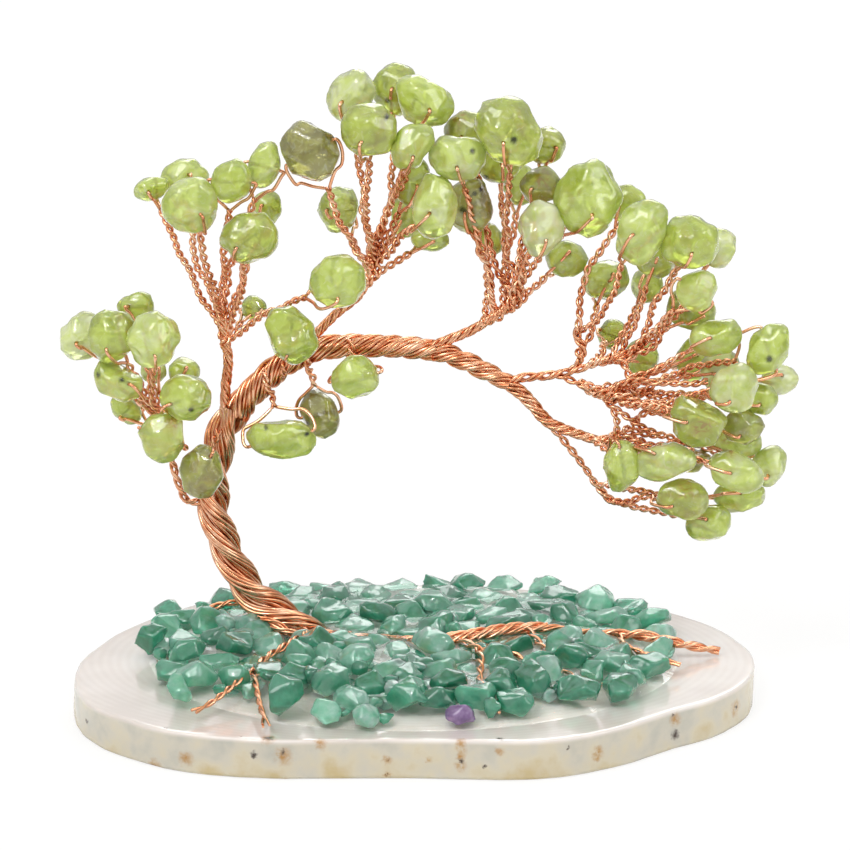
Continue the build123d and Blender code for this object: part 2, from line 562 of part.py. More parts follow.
# Chips round the roots, in four quarters of the bed
amethyst = chip(AMETHYST, draw)
chips = [amethyst, *(chip(row, draw) for row in (*SHOWN_CHIPS, *scattered_chips(draw)))]
part_all(chips)
trunk_runs = runs(TRUNK)
for piece in chips:
    keep_clear(piece, [*root_runs, *trunk_runs])
for piece in chips:
    if piece is amethyst:
        nodes["amethyst_chip"] = solid_of(piece["faces"])
        continue
    if min(span(piece, axis) for axis in (SIDE, DEPTH, UP)) > CHIP_LEAST:
        side = "left" if piece["centre"][0] < 0 else "right"
        end = "front" if piece["centre"][1] < 0 else "back"
        nodes.setdefault(f"{end}_{side}_chips", []).append(solid_of(piece["faces"]))

os.makedirs("parts", exist_ok=True)
for name, shape in nodes.items():
    solids = shape if isinstance(shape, list) else shape.solids()
    export_step(Compound(solids) if len(solids) > 1 else solids[0], f"parts/{name}.step")
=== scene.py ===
import json
import math
import random

import bpy
import numpy as np
from mathutils import Matrix, Vector, kdtree, noise


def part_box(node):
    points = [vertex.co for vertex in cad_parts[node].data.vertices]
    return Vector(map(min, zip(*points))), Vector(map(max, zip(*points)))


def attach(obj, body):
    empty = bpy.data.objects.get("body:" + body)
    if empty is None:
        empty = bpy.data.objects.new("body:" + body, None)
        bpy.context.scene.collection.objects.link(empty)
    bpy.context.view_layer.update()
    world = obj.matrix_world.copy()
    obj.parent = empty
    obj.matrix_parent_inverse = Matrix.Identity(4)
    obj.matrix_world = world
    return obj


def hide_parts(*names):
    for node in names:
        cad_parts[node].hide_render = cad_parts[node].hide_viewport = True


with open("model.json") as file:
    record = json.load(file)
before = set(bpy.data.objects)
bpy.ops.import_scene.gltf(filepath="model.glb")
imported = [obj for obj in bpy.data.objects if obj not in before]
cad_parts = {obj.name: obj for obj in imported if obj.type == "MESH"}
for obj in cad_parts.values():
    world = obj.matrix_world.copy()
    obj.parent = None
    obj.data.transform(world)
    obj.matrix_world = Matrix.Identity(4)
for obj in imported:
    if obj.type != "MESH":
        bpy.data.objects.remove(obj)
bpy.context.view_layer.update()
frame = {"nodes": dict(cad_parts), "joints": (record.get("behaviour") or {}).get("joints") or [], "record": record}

mm = 0.001
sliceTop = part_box("agate_slice")[1].z
chance = random.Random(11)
bodyOf = {node: body for body, nodes in frame["record"]["behaviour"]["bodies"].items() for node in nodes}
depthAxis = np.array((0.0, 1.0, 0.0))
upAxis = np.array((0.0, 0.0, 1.0))
print("frame:", len(frame["nodes"]), "nodes")

# The wire tree's lines, as it is bent: x, y, height over the slice and diameter, in mm

stemRows = {
    "trunk": [(-13.0, 4.5, -0.6, 6.2), (-16.8, 4.6, 2.8, 5.8), (-20.0, 5.0, 5.3, 5.4),
              (-23.5, 5.0, 8.6, 5.2), (-26.2, 5.0, 13.6, 4.9), (-28.0, 5.0, 19.0, 4.9),
              (-28.6, 5.0, 23.0, 5.2), (-28.3, 5.0, 27.0, 5.2), (-27.0, 5.0, 32.0, 4.9),
              (-25.0, 4.8, 35.3, 4.5)],
    "main_bough": [(-23.0, 4.5, 37.8, 4.2), (-20.5, 4.2, 40.5, 4.1), (-18.0, 4.0, 42.6, 4.0),
                   (-14.5, 4.0, 44.4, 3.9), (-9.5, 4.0, 45.1, 3.6), (-3.0, 4.0, 45.0, 3.4),
                   (3.0, 3.6, 44.5, 3.2)],
    "outer_bough": [(6.5, 3.3, 43.4, 3.1), (10.0, 3.0, 41.7, 2.9), (13.5, 2.6, 39.9, 2.6)],
    "right_low_branch": [(16.5, 2.3, 37.3, 2.2), (19.0, 2.0, 34.5, 2.0), (23.5, 2.0, 32.6, 1.6),
                         (26.0, 2.0, 31.9, 1.5), (28.5, 2.0, 32.2, 1.4)],
}
branchRows = {
    "left_branch": [(-26.6, 4.8, 33.0, 2.0), (-26.5, 4.3, 38.0, 1.9), (-26.0, 4.0, 43.0, 1.8),
                    (-26.5, 4.0, 46.5, 1.8), (-27.0, 4.0, 49.0, 1.8)],
    "left_low_branch": [(-28.6, 4.6, 22.0, 1.4), (-32.0, 3.6, 22.4, 1.4), (-33.2, 3.2, 25.0, 1.4),
                        (-34.0, 3.0, 28.0, 1.4), (-34.7, 3.0, 31.0, 1.4), (-35.5, 3.0, 34.0, 1.4)],
    "top_branch": [(-16.0, 4.0, 43.8, 1.8), (-13.5, 4.0, 47.0, 1.7), (-10.5, 4.0, 50.0, 1.6),
                   (-8.0, 4.0, 52.0, 1.5), (-6.5, 4.0, 54.5, 1.5), (-6.0, 4.0, 57.0, 1.5)],
    "upper_right_branch": [(1.5, 3.7, 44.6, 1.9), (5.0, 3.4, 46.2, 1.8), (8.0, 3.2, 47.5, 1.7),
                           (10.5, 3.0, 49.2, 1.7), (13.0, 3.0, 51.0, 1.6)],
    "right_top_branch": [(12.6, 2.7, 40.3, 1.9), (16.0, 2.4, 41.0, 1.8), (19.0, 2.2, 41.3, 1.7),
                         (23.0, 2.0, 42.2, 1.4), (26.0, 2.0, 43.4, 1.2), (29.0, 2.0, 44.2, 1.2)],
    "crown_branch": [(22.0, 2.1, 42.0, 1.1), (23.6, 2.0, 44.0, 1.0), (23.6, 2.0, 45.5, 1.0),
                     (22.6, 2.0, 47.0, 1.0)],
    "right_mid_branch": [(20.0, 2.1, 41.5, 1.2), (23.0, 2.0, 40.2, 1.2), (25.5, 2.0, 39.0, 1.2),
                         (27.5, 2.0, 38.0, 1.2)],
    "right_hanging_branch": [(18.7, 2.0, 34.8, 1.2), (21.6, 2.0, 31.2, 1.2), (24.0, 2.0, 28.0, 1.1),
                             (26.0, 2.0, 25.0, 1.1), (28.0, 2.0, 23.0, 1.1)],
}
rootRows = {
    "right_root": [[(-15.2, 4.4, 2.4, 2.2), (-10.0, 2.5, 2.0, 2.2), (-3.0, 1.0, 2.0, 2.2),
                    (3.0, -0.8, 2.9, 2.2), (9.0, 0.0, 3.6, 2.2), (14.0, 2.0, 3.8, 2.0),
                    (19.0, 3.5, 3.4, 1.9)]],
    "far_right_root": [[(18.4, 3.4, 3.4, 1.6), (24.0, 3.5, 2.4, 1.6), (29.0, 2.0, 2.8, 1.6),
                        (33.0, 0.5, 3.2, 1.6), (37.5, -0.3, 2.4, 1.5), (40.8, 0.3, 1.5, 1.3),
                        (43.5, 0.8, 0.8, 1.1)]],
    "front_root": [[(-17.0, 4.5, 3.0, 1.6), (-15.4, 0.0, 3.7, 1.6), (-17.5, -4.0, 3.7, 1.5),
                    (-20.0, -8.5, 3.7, 1.4), (-22.0, -14.0, 3.4, 1.3), (-21.3, -22.0, 2.2, 1.1),
                    (-20.3, -28.0, 1.5, 1.0), (-19.7, -31.5, 1.3, 0.9)]],
    "side_root": [[(-21.8, -13.4, 3.4, 1.0), (-23.4, -16.0, 3.2, 1.0), (-25.5, -19.5, 2.6, 1.0),
                   (-27.8, -23.0, 1.9, 0.95), (-30.0, -25.3, 1.5, 0.9)]],
    "centre_root": [[(5.5, -0.6, 3.1, 1.4), (9.0, -6.0, 3.5, 1.4), (9.3, -12.0, 3.2, 1.3),
                     (9.2, -16.0, 2.6, 1.2), (10.3, -21.0, 1.8, 1.1), (11.2, -25.5, 1.4, 1.0)]],
    "back_root": [[(-19.4, 5.4, 4.4, 1.4), (-22.0, 11.0, 3.7, 1.3), (-27.0, 14.5, 3.2, 1.2),
                   (-31.5, 12.0, 2.4, 1.1)]],
    "short_roots": [[(29.4, 1.8, 2.8, 1.0), (29.8, -2.6, 2.9, 1.0), (33.5, -6.4, 2.6, 1.0),
                     (37.5, -7.6, 1.8, 0.9)],
                    [(9.0, -6.4, 3.5, 0.9), (12.0, -6.2, 3.6, 0.9), (15.0, -8.0, 3.0, 0.9),
                     (15.6, -11.0, 2.2, 0.8)],
                    [(16.0, 2.7, 3.6, 1.2), (18.5, -4.0, 2.6, 1.2), (19.5, -10.5, 2.6, 1.2),
                     (22.5, -14.0, 2.2, 1.1), (26.0, -16.0, 1.6, 1.0)]],
}

# Sprays: the nodes that they share, the branch that they end, the far end of their run, and their free stones
sprays = {
    "left_low": ("left_low", "left_low_branch", (-37.4, 3.0, 38.0), ()),
    "left_top": ("left_top", "left_branch", (-26.4, 4.0, 52.0), ("left_crown_stone", "left_tip_stone")),
    "top": ("top", "top_branch", (-5.4, 4.0, 60.0), ("olive_stone",)),
    "upper_right": ("upper_right", "upper_right_branch", (15.5, 3.0, 53.6), ()),
    "crown": ("crown", "crown_branch", (23.2, 2.0, 49.5), ()),
    "right_top": ("right_top", "right_top_branch", (33.0, 2.0, 45.4), ("heart_loop_stone",)),
    "right_mid": ("right_mid", "right_mid_branch", (32.0, 2.0, 38.6), ("right_tip_stone",)),
    "right_low": ("right_low", "right_low_branch", (31.2, 2.0, 33.2), ()),
    "right_hanging": ("right_low", "right_hanging_branch", (30.6, 2.0, 22.8), ()),
}
# which of the shared stones hang on the lower branch, mm
hangingSpray = {"below": 27.0, "leftOf": 48.0, "rightOf": 33.5}

# Stones on a twig of their own, and the point of the bough that it leaves
ownTwigs = {
    "teardrop_stone": (-28.2, 4.2, 31.5),
    "big_round_stone": (-26.4, 4.0, 46.0),
    "front_stone": (-8.6, 4.0, 45.1),
    "hanging_long_stone": (-20.6, 4.2, 40.4),
    "hanging_grey_stone": (-14.8, 4.2, 44.0),
    "slanted_stone": (-18.2, 4.0, 42.4),
}


def spot(x, y, height):
    return np.array((x * mm, y * mm, height * mm + sliceTop))


def unit(vector):
    return vector / np.linalg.norm(vector)


def units(vectors):
    return vectors / np.linalg.norm(vectors, axis=1)[:, None]


def spokes(angles, sides, ups):
    # directions at given angles round a line
    return np.cos(angles)[:, None] * sides + np.sin(angles)[:, None] * ups


def smoothLine(rows, steps):
    rows = np.array(rows, float)
    ends = [rows[0], *rows, rows[-1]]
    line = []
    for before, start, end, after in zip(ends, ends[1:], ends[2:], ends[3:]):
        for step in range(steps):
            t = step / steps
            line.append(start + 0.5 * t * ((end - before) + t * (
                2 * before - 5 * start + 4 * end - after + t * (3 * start - before - 3 * end + after))))
    line.append(rows[-1])
    return np.array(line)


def treeOf(places):
    tree = kdtree.KDTree(len(places))
    for index, place in enumerate(places):
        tree.insert(place, index)
    tree.balance()
    return tree


def setMode(mode):
    bpy.ops.object.mode_set(mode=mode)


def makeActive(piece):
    bpy.ops.object.select_all(action="DESELECT")
    piece.select_set(True)
    bpy.context.view_layer.objects.active = piece


def applyModifier(piece, kind, **settings):
    makeActive(piece)
    modifier = piece.modifiers.new(kind.title(), kind)
    for name, value in settings.items():
        setattr(modifier, name, value)
    bpy.ops.object.modifier_apply(modifier=modifier.name)


def dress(piece, node, material, slot):
    # put a finished piece in place of its CAD node: give it its material, hide the node and attach the piece to
    # the node's body
    piece.data.materials.clear()
    piece.data.materials.append(material)
    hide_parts(node)
    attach(piece, bodyOf[node])


# Materials

def linear(code):
    # an sRGB hex colour as linear red, green, blue and alpha
    levels = [int(code[place:place + 2], 16) / 255 for place in (1, 3, 5)]
    return (*(v / 12.92 if v <= 0.04045 else ((v + 0.055) / 1.055) ** 2.4 for v in levels), 1.0)


def startMaterial(name):
    material = bpy.data.materials.new(name)
    material.use_nodes = True
    material.node_tree.nodes.clear()
    return material


def addNode(material, kind, settings=(), links=()):
    # sockets go by name, or by number where names repeat: a colour mix takes 0, 6 and 7 and gives 2
    node = material.node_tree.nodes.new(kind)
    for name, value in dict(settings).items():
        if name == "stops":
            ramp = node.color_ramp.elements
            while len(ramp) < len(value):
                ramp.new(1.0)
            for element, (place, code) in zip(ramp, value):
                element.position = place
                element.color = linear(code)
        elif isinstance(name, str) and hasattr(node, name):
            setattr(node, name, value)
        else:
            node.inputs[name].default_value = value
    for name, source in dict(links).items():
        material.node_tree.links.new(source, node.inputs[name])
    return node


def objectPlace(material):
    return addNode(material, "ShaderNodeTexCoord").outputs["Object"]


def painted(material, name):
    return addNode(material, "ShaderNodeAttribute", {"attribute_name": name}).outputs["Fac"]


def addNoise(material, place, size, detail, **more):
    settings = {"Scale": 1 / size, "Detail": detail, **more}
    return addNode(material, "ShaderNodeTexNoise", settings, {"Vector": place}).outputs["Fac"]


def addRamp(material, level, stops):
    return addNode(material, "ShaderNodeValToRGB", {"stops": stops}, {"Fac": level}).outputs["Color"]


def addRange(material, value, ends, results=(0.0, 1.0)):
    settings = {"From Min": ends[0], "From Max": ends[1], "To Min": results[0], "To Max": results[1]}
    return addNode(material, "ShaderNodeMapRange", settings, {"Value": value}).outputs["Result"]


def addMath(material, operation, *terms, clamp=False):
    # each term is a number or a socket
    numbers = {place: term for place, term in enumerate(terms) if isinstance(term, float)}
    sockets = {place: term for place, term in enumerate(terms) if place not in numbers}
    settings = {"operation": operation, "use_clamp": clamp, **numbers}
    return addNode(material, "ShaderNodeMath", settings, sockets).outputs["Value"]


def tint(material, share, colour, code):
    settings = {"data_type": "RGBA", 7: linear(code)}
    return addNode(material, "ShaderNodeMix", settings, {0: share, 6: colour}).outputs[2]


def addBump(material, height, strength, distance):
    settings = {"Strength": strength, "Distance": distance}
    return addNode(material, "ShaderNodeBump", settings, {"Height": height}).outputs["Normal"]


def addSkin(material, settings, links):
    shader = addNode(material, "ShaderNodeBsdfPrincipled", settings, links)
    addNode(material, "ShaderNodeOutputMaterial", (), {"Surface": shader.outputs["BSDF"]})
    return material


def makeCopper():
    # bare drawn copper wire: warm bright metal, with fine draw marks and brown tarnish in patches
    material = startMaterial("copper_wire_drawn")
    place = objectPlace(material)
    blotch = addNoise(material, place, 2.5 * mm, 3.0)
    colour = addRamp(material, blotch, [(0.3, "#D48B62"), (0.5, "#ECAE88"), (0.7, "#F6CBAD")])
    scuff = addNoise(material, place, 0.35 * mm, 2.0)
    return addSkin(material, {"Metallic": 1.0}, {
        "Base Color": colour, "Roughness": addRange(material, scuff, (0.0, 1.0), (0.13, 0.27)),
        "Normal": addBump(material, scuff, 0.08, 0.03 * mm)})


def makePeridot():
    # tumbled peridot: clear yellow-green jelly with cloudy veils, dark and rusty marks and a polished skin
    material = startMaterial("peridot_tumbled")
    place = objectPlace(material)
    veil = addNoise(material, place, 2.8 * mm, 4.0, Distortion=1.2)
    tone = addMath(material, "MULTIPLY_ADD", veil, 0.95, -0.475)
    level = addMath(material, "ADD", painted(material, "shade"), tone, clamp=True)
    colour = addRamp(material, level, [
        (0.0, "#F0F6CC"), (0.25, "#DDEB8C"), (0.5, "#C9DA60"), (0.7, "#BCC558"), (0.85, "#B2B162"),
        (1.0, "#A09B58")])
    wisp = addNoise(material, place, 1.3 * mm, 5.0, Distortion=2.0)
    cloudy = tint(material, addRange(material, wisp, (0.54, 0.74), (0.0, 0.4)), colour, "#F0F5DA")
    patch = addRange(material, wisp, (0.4, 0.62), (0.0, 0.75))
    ochre = addMath(material, "MULTIPLY", painted(material, "rusty"), patch)
    rusty = tint(material, ochre, cloudy, "#B98430")
    marked = tint(material, painted(material, "sooty"), rusty, "#23261A")
    dent = addNoise(material, place, 1.1 * mm, 2.0)
    return addSkin(material, {
        "Roughness": 0.1, "IOR": 1.5, "Transmission Weight": 0.55, "Subsurface Weight": 0.7,
        "Subsurface Radius": (1.0, 1.0, 0.45), "Subsurface Scale": 1.8 * mm, "Coat Weight": 1.0,
        "Coat Roughness": 0.03}, {"Base Color": marked, "Normal": addBump(material, dent, 0.3, 0.14 * mm)})


def makeAventurine():
    # aventurine chips under resin: sea-green quartz, clear in places and milky in others, with a wet skin
    material = startMaterial("aventurine_chips_wet")
    place = objectPlace(material)
    mottle = addNoise(material, place, 1.8 * mm, 5.0, Roughness=0.6)
    tone = addMath(material, "MULTIPLY_ADD", mottle, 1.0, -0.5)
    level = addMath(material, "ADD", painted(material, "shade"), tone, clamp=True)
    colour = addRamp(material, level, [
        (0.0, "#3C9D7B"), (0.3, "#59B996"), (0.55, "#7ACDAC"), (0.8, "#A2E0C7"), (1.0, "#D0F1E3")])
    grain = addNoise(material, place, 0.5 * mm, 2.0)
    return addSkin(material, {
        "Roughness": 0.18, "IOR": 1.45, "Transmission Weight": 0.62, "Subsurface Weight": 0.85,
        "Subsurface Radius": (0.6, 1.0, 0.85), "Subsurface Scale": 2.6 * mm, "Coat Weight": 1.0,
        "Coat Roughness": 0.04}, {"Base Color": colour, "Normal": addBump(material, grain, 0.35, 0.1 * mm)})


def makeAmethyst():
    # one amethyst chip: cloudy violet quartz
    material = startMaterial("amethyst_chip_wet")
    cloud = addNoise(material, objectPlace(material), 1.6 * mm, 4.0)
    colour = addRamp(material, cloud, [(0.3, "#6F4E8A"), (0.5, "#8B6A9F"), (0.72, "#B79AC2")])
    return addSkin(material, {
        "Roughness": 0.2, "IOR": 1.54, "Transmission Weight": 0.3, "Subsurface Weight": 0.5,
        "Subsurface Radius": (1.0, 0.7, 1.0), "Subsurface Scale": 1.0 * mm, "Coat Weight": 0.8,
        "Coat Roughness": 0.05}, {"Base Color": colour})


def makeResin():
    # clear casting resin, poured and set: water-clear with a wavy, glossy skin
    material = startMaterial("casting_resin_clear")
    ripple = addNoise(material, objectPlace(material), 1.5 * mm, 1.5)
    return addSkin(material, {
        "Base Color": linear("#F7FCF9"), "IOR": 1.3, "Transmission Weight": 1.0, "Coat Weight": 0.5,
        "Coat Roughness": 0.03}, {
        "Roughness": addRange(material, ripple, (0.0, 1.0), (0.01, 0.05)),
        "Normal": addBump(material, ripple, 0.6, 0.2 * mm)})


agateStains = {  # x, y, z and radius in mm of the marks on the rim
    "rust": [(-17.6, -31.4, 3.5, 1.3), (-19.0, -31.1, 4.6, 1.1), (-29.8, -26.7, 2.2, 1.1),
             (-33.4, -24.7, 1.7, 1.3), (-11.6, -32.5, 5.3, 0.9), (-6.5, -32.9, 1.0, 0.6),
             (-2.5, -33.0, 2.5, 0.7), (0.9, -33.0, 2.7, 0.5), (4.6, -33.1, 5.4, 0.8),
             (5.6, -33.0, 4.5, 0.8), (6.5, -33.0, 3.5, 0.7), (7.8, -33.0, 2.1, 0.8),
             (11.3, -32.7, 4.6, 0.6), (24.5, -29.2, 3.2, 1.0), (25.6, -28.7, 2.2, 0.6),
             (44.5, -12.1, 2.8, 1.2), (48.0, -4.1, 1.6, 1.0), (-18.1, -31.3, 0.2, 0.6),
             (35.0, -22.6, 4.0, 1.0)],
    "black": [(-19.7, -30.9, 4.9, 0.7), (-20.7, -30.6, 4.0, 0.5), (-18.2, -31.2, 4.3, 0.4),
              (-42.2, -16.6, 2.8, 0.5), (-22.8, -29.8, 4.6, 0.25), (-32.4, -25.2, 4.6, 0.3),
              (-6.7, -32.9, 0.8, 0.35), (-2.7, -33.0, 2.6, 0.25), (7.2, -33.0, 2.6, 0.4),
              (8.0, -33.0, 1.9, 0.35), (12.5, -31.6, 5.7, 0.5), (20.2, -31.1, 4.4, 0.3),
              (35.3, -22.3, 2.3, 0.7), (36.4, -21.6, 2.1, 0.5), (35.0, -22.6, 4.9, 0.3),
              (44.7, -12.0, 2.7, 0.4), (48.0, -4.1, 1.9, 0.4), (-37.2, -21.9, 1.6, 0.3)],
}


def stainMask(material, place, marks, softness):
    # 1 on every mark of a list, fading over its edge
    total = None
    for x, y, z, radius in marks:
        away = addNode(material, "ShaderNodeVectorMath", {"operation": "DISTANCE", 1: (x, y, z)}, {0: place})
        mask = addRange(material, away.outputs["Value"], (radius * (1 - softness), radius), (1.0, 0.0))
        total = mask if total is None else addMath(material, "MAXIMUM", total, mask)
    return total


def makeAgate(stains):
    # a polished agate slice: milky white and faintly ringed on top, with a clearer, stained rim
    material = startMaterial("agate_slice_polished")
    place = objectPlace(material)
    ragged = addNode(material, "ShaderNodeTexNoise", {
        "Scale": 1 / (1.2 * mm), "Detail": 5.0, "Roughness": 0.65}, {"Vector": place})
    shift = addNode(material, "ShaderNodeVectorMath", {
        "operation": "MULTIPLY_ADD", 1: (2.0 * mm,) * 3, 2: (-1.0 * mm,) * 3}, {0: ragged.outputs["Color"]})
    torn = addNode(material, "ShaderNodeVectorMath", {"operation": "ADD"},
                   {0: place, 1: shift.outputs["Vector"]}).outputs["Vector"]
    # rings follow the outline: distance from the middle on an ellipse as long as the slice
    low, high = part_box("agate_slice")
    oval = addNode(material, "ShaderNodeVectorMath", {
        "operation": "MULTIPLY", 1: (2 / (high.x - low.x), 2 / (high.y - low.y), 0.0)}, {0: place})
    ring = addNode(material, "ShaderNodeVectorMath", {"operation": "LENGTH"}, {0: oval.outputs["Vector"]})
    wave = addMath(material, "SINE", addMath(material, "MULTIPLY", ring.outputs["Value"], 230.0))
    cloud = addNoise(material, place, 14.0 * mm, 4.0)
    level = addMath(material, "MULTIPLY_ADD", wave, 0.035, cloud)
    milk = addRamp(material, level, [(0.3, "#D9CFC8"), (0.5, "#E4DBD5"), (0.7, "#EEE7E2")])
    # the rim: grey and clear above; warmer below, a painted glow that stands in for the light coming through from
    # the table
    height = addNode(material, "ShaderNodeSeparateXYZ", (), {"Vector": place}).outputs["Z"]
    rimTone = addNoise(material, place, 5.0 * mm, 5.0)
    # painted glow: the rim's colour is pushed warmer towards its foot, as if lit through from below
    paintedGlow = addRange(material, height, (sliceTop, 0.0), (-0.08, 0.12))
    clear = addRamp(material, addMath(material, "ADD", rimTone, paintedGlow), [
        (0.3, "#BFBDB2"), (0.46, "#D0CABB"), (0.58, "#D6CDB6"), (0.76, "#CBB98E")])
    side = addRange(material, height, (sliceTop - 0.1 * mm, sliceTop - 0.7 * mm))
    body = addNode(material, "ShaderNodeMix", {"data_type": "RGBA"}, {0: side, 6: milk, 7: clear}).outputs[2]
    patch = addRange(material, ragged.outputs["Fac"], (0.3, 0.52), (0.0, 0.9))
    smudge = addMath(material, "MULTIPLY", stainMask(material, torn, stains["rust"], 0.9), patch)
    rusty = tint(material, smudge, body, "#B5822C")
    speckled = tint(material, stainMask(material, torn, stains["black"], 0.75), rusty, "#46342B")
    return addSkin(material, {
        "Roughness": 0.18, "IOR": 1.54, "Subsurface Weight": 0.6, "Subsurface Radius": (1.0, 0.9, 0.8),
        "Subsurface Scale": 1.6 * mm, "Coat Weight": 0.6, "Coat Roughness": 0.06}, {"Base Color": speckled})


copper = makeCopper()
peridot = makePeridot()
aventurine = makeAventurine()
amethyst = makeAmethyst()
clearResin = makeResin()
print("materials made")

# Stones

peridotLeaf = {"voxel": 0.32 * mm, "smoothing": 4, "lump": 1.05 * mm, "lumpSize": 3.2 * mm,
               "swell": 0.24 * mm, "bore": 0.3 * mm}
# kept clear of the loop that it swings in
swingingLeaf = {**peridotLeaf, "lump": 0.65 * mm, "swell": 0.05 * mm}
# corners: the part of a blank's corners that is kept; low: how much flatter the chips at the back are
bedChip = {"voxel": 0.34 * mm, "smoothing": 2, "lump": 0.35 * mm, "lumpSize": 1.8 * mm, "swell": 0.0,
           "corners": 0.6, "grown": 1.1, "wide": (0.8, 1.05), "flat": (0.7, 1.0), "tilt": 0.6,
           "sunk": 0.3 * mm, "low": 0.4, "shade": (0.0, 0.9)}
# smaller chips that lie beside each large one, under the resin and on top of the pile
lowChip = {"size": (0.5, 0.72), "apart": 3.0 * mm, "lift": -0.3 * mm, "edge": 0.99}
highChip = {"size": (0.48, 0.7), "apart": 2.6 * mm, "lift": 1.7 * mm, "edge": 0.84, "back": 7 * mm}
rootClear = {"beside": 2.2, "before": 5.5, "behind": 2.5}  # what a chip on the pile leaves clear, mm
stoneCrease = 40  # degrees
usualShade = (0.25, 0.62)  # how deep a green a peridot may be, from pale to olive
# stones that stand out, known by their middles: x, height and shade
shadeReach = 1.6 * mm
namedShades = [(-46.5, 46.5, 0.1), (-8.5, 81.0, 0.12), (42.5, 59.5, 0.15), (43.0, 42.0, 0.15),
               (51.5, 40.0, 0.05), (17.5, 64.0, 0.1), (7.5, 75.5, 0.7), (17.5, 69.0, 0.75),
               (46.0, 35.0, 0.78), (39.0, 30.0, 0.78), (39.5, 37.5, 0.6), (37.5, 25.5, 0.68),
               (8.0, 65.5, 0.85), (-14.2, 74.0, 0.95), (-29.5, 28.6, 0.8), (-13.2, 34.5, 0.9),
               (13.0, 77.5, 0.62), (-6.0, 77.5, 0.6), (31.5, 63.5, 0.3), (39.0, 55.0, 0.3)]
# marks on the fronts of the stones: x, height and radius in mm
stoneMarks = {
    "sooty": [(13.7, 77.0, 0.6), (8.1, 75.0, 0.5), (7.7, 67.2, 0.5), (8.5, 67.8, 0.45), (9.3, 68.3, 0.45),
              (10.1, 68.9, 0.5), (6.8, 65.5, 0.7), (-3.6, 79.8, 0.45), (-43.8, 42.7, 0.4),
              (-40.5, 42.2, 0.45), (-37.5, 52.8, 0.8), (-30.7, 39.0, 0.5), (-20.6, 34.9, 0.4),
              (-14.9, 33.8, 0.45), (49.3, 45.2, 0.6)],
    "rusty": [(6.1, 78.2, 1.6), (17.7, 70.3, 1.5), (39.8, 37.0, 1.9), (37.8, 27.2, 1.5), (-33.5, 36.5, 1.2),
              (44.0, 33.0, 1.4), (30.5, 61.0, 1.1)],
}


def mergedCopy(node, name):
    # a copy of a CAD node, with the corners that its faces share merged
    piece = bpy.data.objects.new(name, frame["nodes"][node].data.copy())
    bpy.context.scene.collection.objects.link(piece)
    makeActive(piece)
    setMode("EDIT")
    bpy.ops.mesh.select_all(action="SELECT")
    bpy.ops.mesh.remove_doubles(threshold=0.001 * mm)
    setMode("OBJECT")
    return piece


def blanksOf(node):
    # the stones of a CAD node, parted
    mergedCopy(node, node + "_blank")
    setMode("EDIT")
    bpy.ops.mesh.separate(type="LOOSE")
    setMode("OBJECT")
    return list(bpy.context.selected_objects)


def cornersOf(piece):
    places = np.empty(3 * len(piece.data.vertices), np.float32)
    piece.data.vertices.foreach_get("co", places)
    return places.reshape(-1, 3).astype(float)


def readBore(blank):
    # the bore's wall is the only part of a stone with more of the stone in front of it
    corners = cornersOf(blank)
    wall = set()
    for face in blank.data.polygons:
        ahead = (corners - np.array(face.center)) @ np.array(face.normal)
        if face.area > (0.01 * mm) ** 2 and ahead.max() > 0.03 * mm:
            wall.update(face.vertices)
    ring = corners[sorted(wall)]
    middle = ring.mean(axis=0)
    along = np.linalg.svd(ring - middle)[2][0]
    ends = [ring[(ring - middle) @ along * side > 0].mean(axis=0) for side in (1, -1)]
    return {"centre": (ends[0] + ends[1]) / 2, "across": unit(ends[0] - ends[1]), "corners": corners}


lumps = bpy.data.textures.new("tumbled lumps", "CLOUDS")
lumps.noise_depth = 1


def tumble(blank, style):
    # wear a faceted blank down to a tumbled stone
    makeActive(blank)
    setMode("EDIT")
    bpy.ops.mesh.select_all(action="SELECT")
    bpy.ops.mesh.convex_hull()
    setMode("OBJECT")
    applyModifier(blank, "REMESH", mode="VOXEL", voxel_size=style["voxel"])
    lumps.noise_scale = style["lumpSize"]
    applyModifier(blank, "DISPLACE", texture=lumps, texture_coords="LOCAL", strength=style["lump"],
                  mid_level=0.5)
    applyModifier(blank, "SMOOTH", factor=0.5, iterations=style["smoothing"])
    if style["swell"]:
        applyModifier(blank, "DISPLACE", strength=style["swell"], mid_level=0.0)


def drill(stone, bore):
    reach = 2.4 * np.abs((bore["corners"] - bore["centre"]) @ bore["across"]).max()
    turn = Vector(bore["across"]).to_track_quat("Z", "Y").to_euler()
    bpy.ops.mesh.primitive_cylinder_add(vertices=10, radius=peridotLeaf["bore"], depth=reach,
                                        location=bore["centre"], rotation=turn)
    bit = bpy.context.object
    applyModifier(stone, "BOOLEAN", operation="DIFFERENCE", object=bit, solver="EXACT")
    bpy.data.objects.remove(bit)


def paint(stone, name, values):
    layer = stone.data.attributes.new(name, "FLOAT", "POINT")
    layer.data.foreach_set("value", values.astype(np.float32))


def paintMarks(stone):
    corners = cornersOf(stone)
    front = np.array([vertex.normal.y < 0.1 for vertex in stone.data.vertices])
    for name, marks in stoneMarks.items():
        values = np.zeros(len(corners))
        for x, height, radius in marks:
            away = np.hypot(corners[:, 0] - x * mm, corners[:, 2] - sliceTop - height * mm) / (radius * mm)
            values = np.maximum(values, np.clip(2 * (1 - away), 0, 1) * front)
        paint(stone, name, values)


def joinStones(stones, name):
    bpy.ops.object.select_all(action="DESELECT")
    for stone in stones:
        stone.select_set(True)
    bpy.context.view_layer.objects.active = stones[0]
    if len(stones) > 1:
        bpy.ops.object.join()
    piece = bpy.context.view_layer.objects.active
    piece.name = name
    bpy.ops.object.shade_smooth_by_angle(angle=math.radians(stoneCrease))
    return piece


def shadeAt(centre):
    for x, height, shade in namedShades:
        if math.hypot(centre[0] - x * mm, centre[2] - sliceTop - height * mm) < shadeReach:
            return shade
    return chance.uniform(*usualShade)


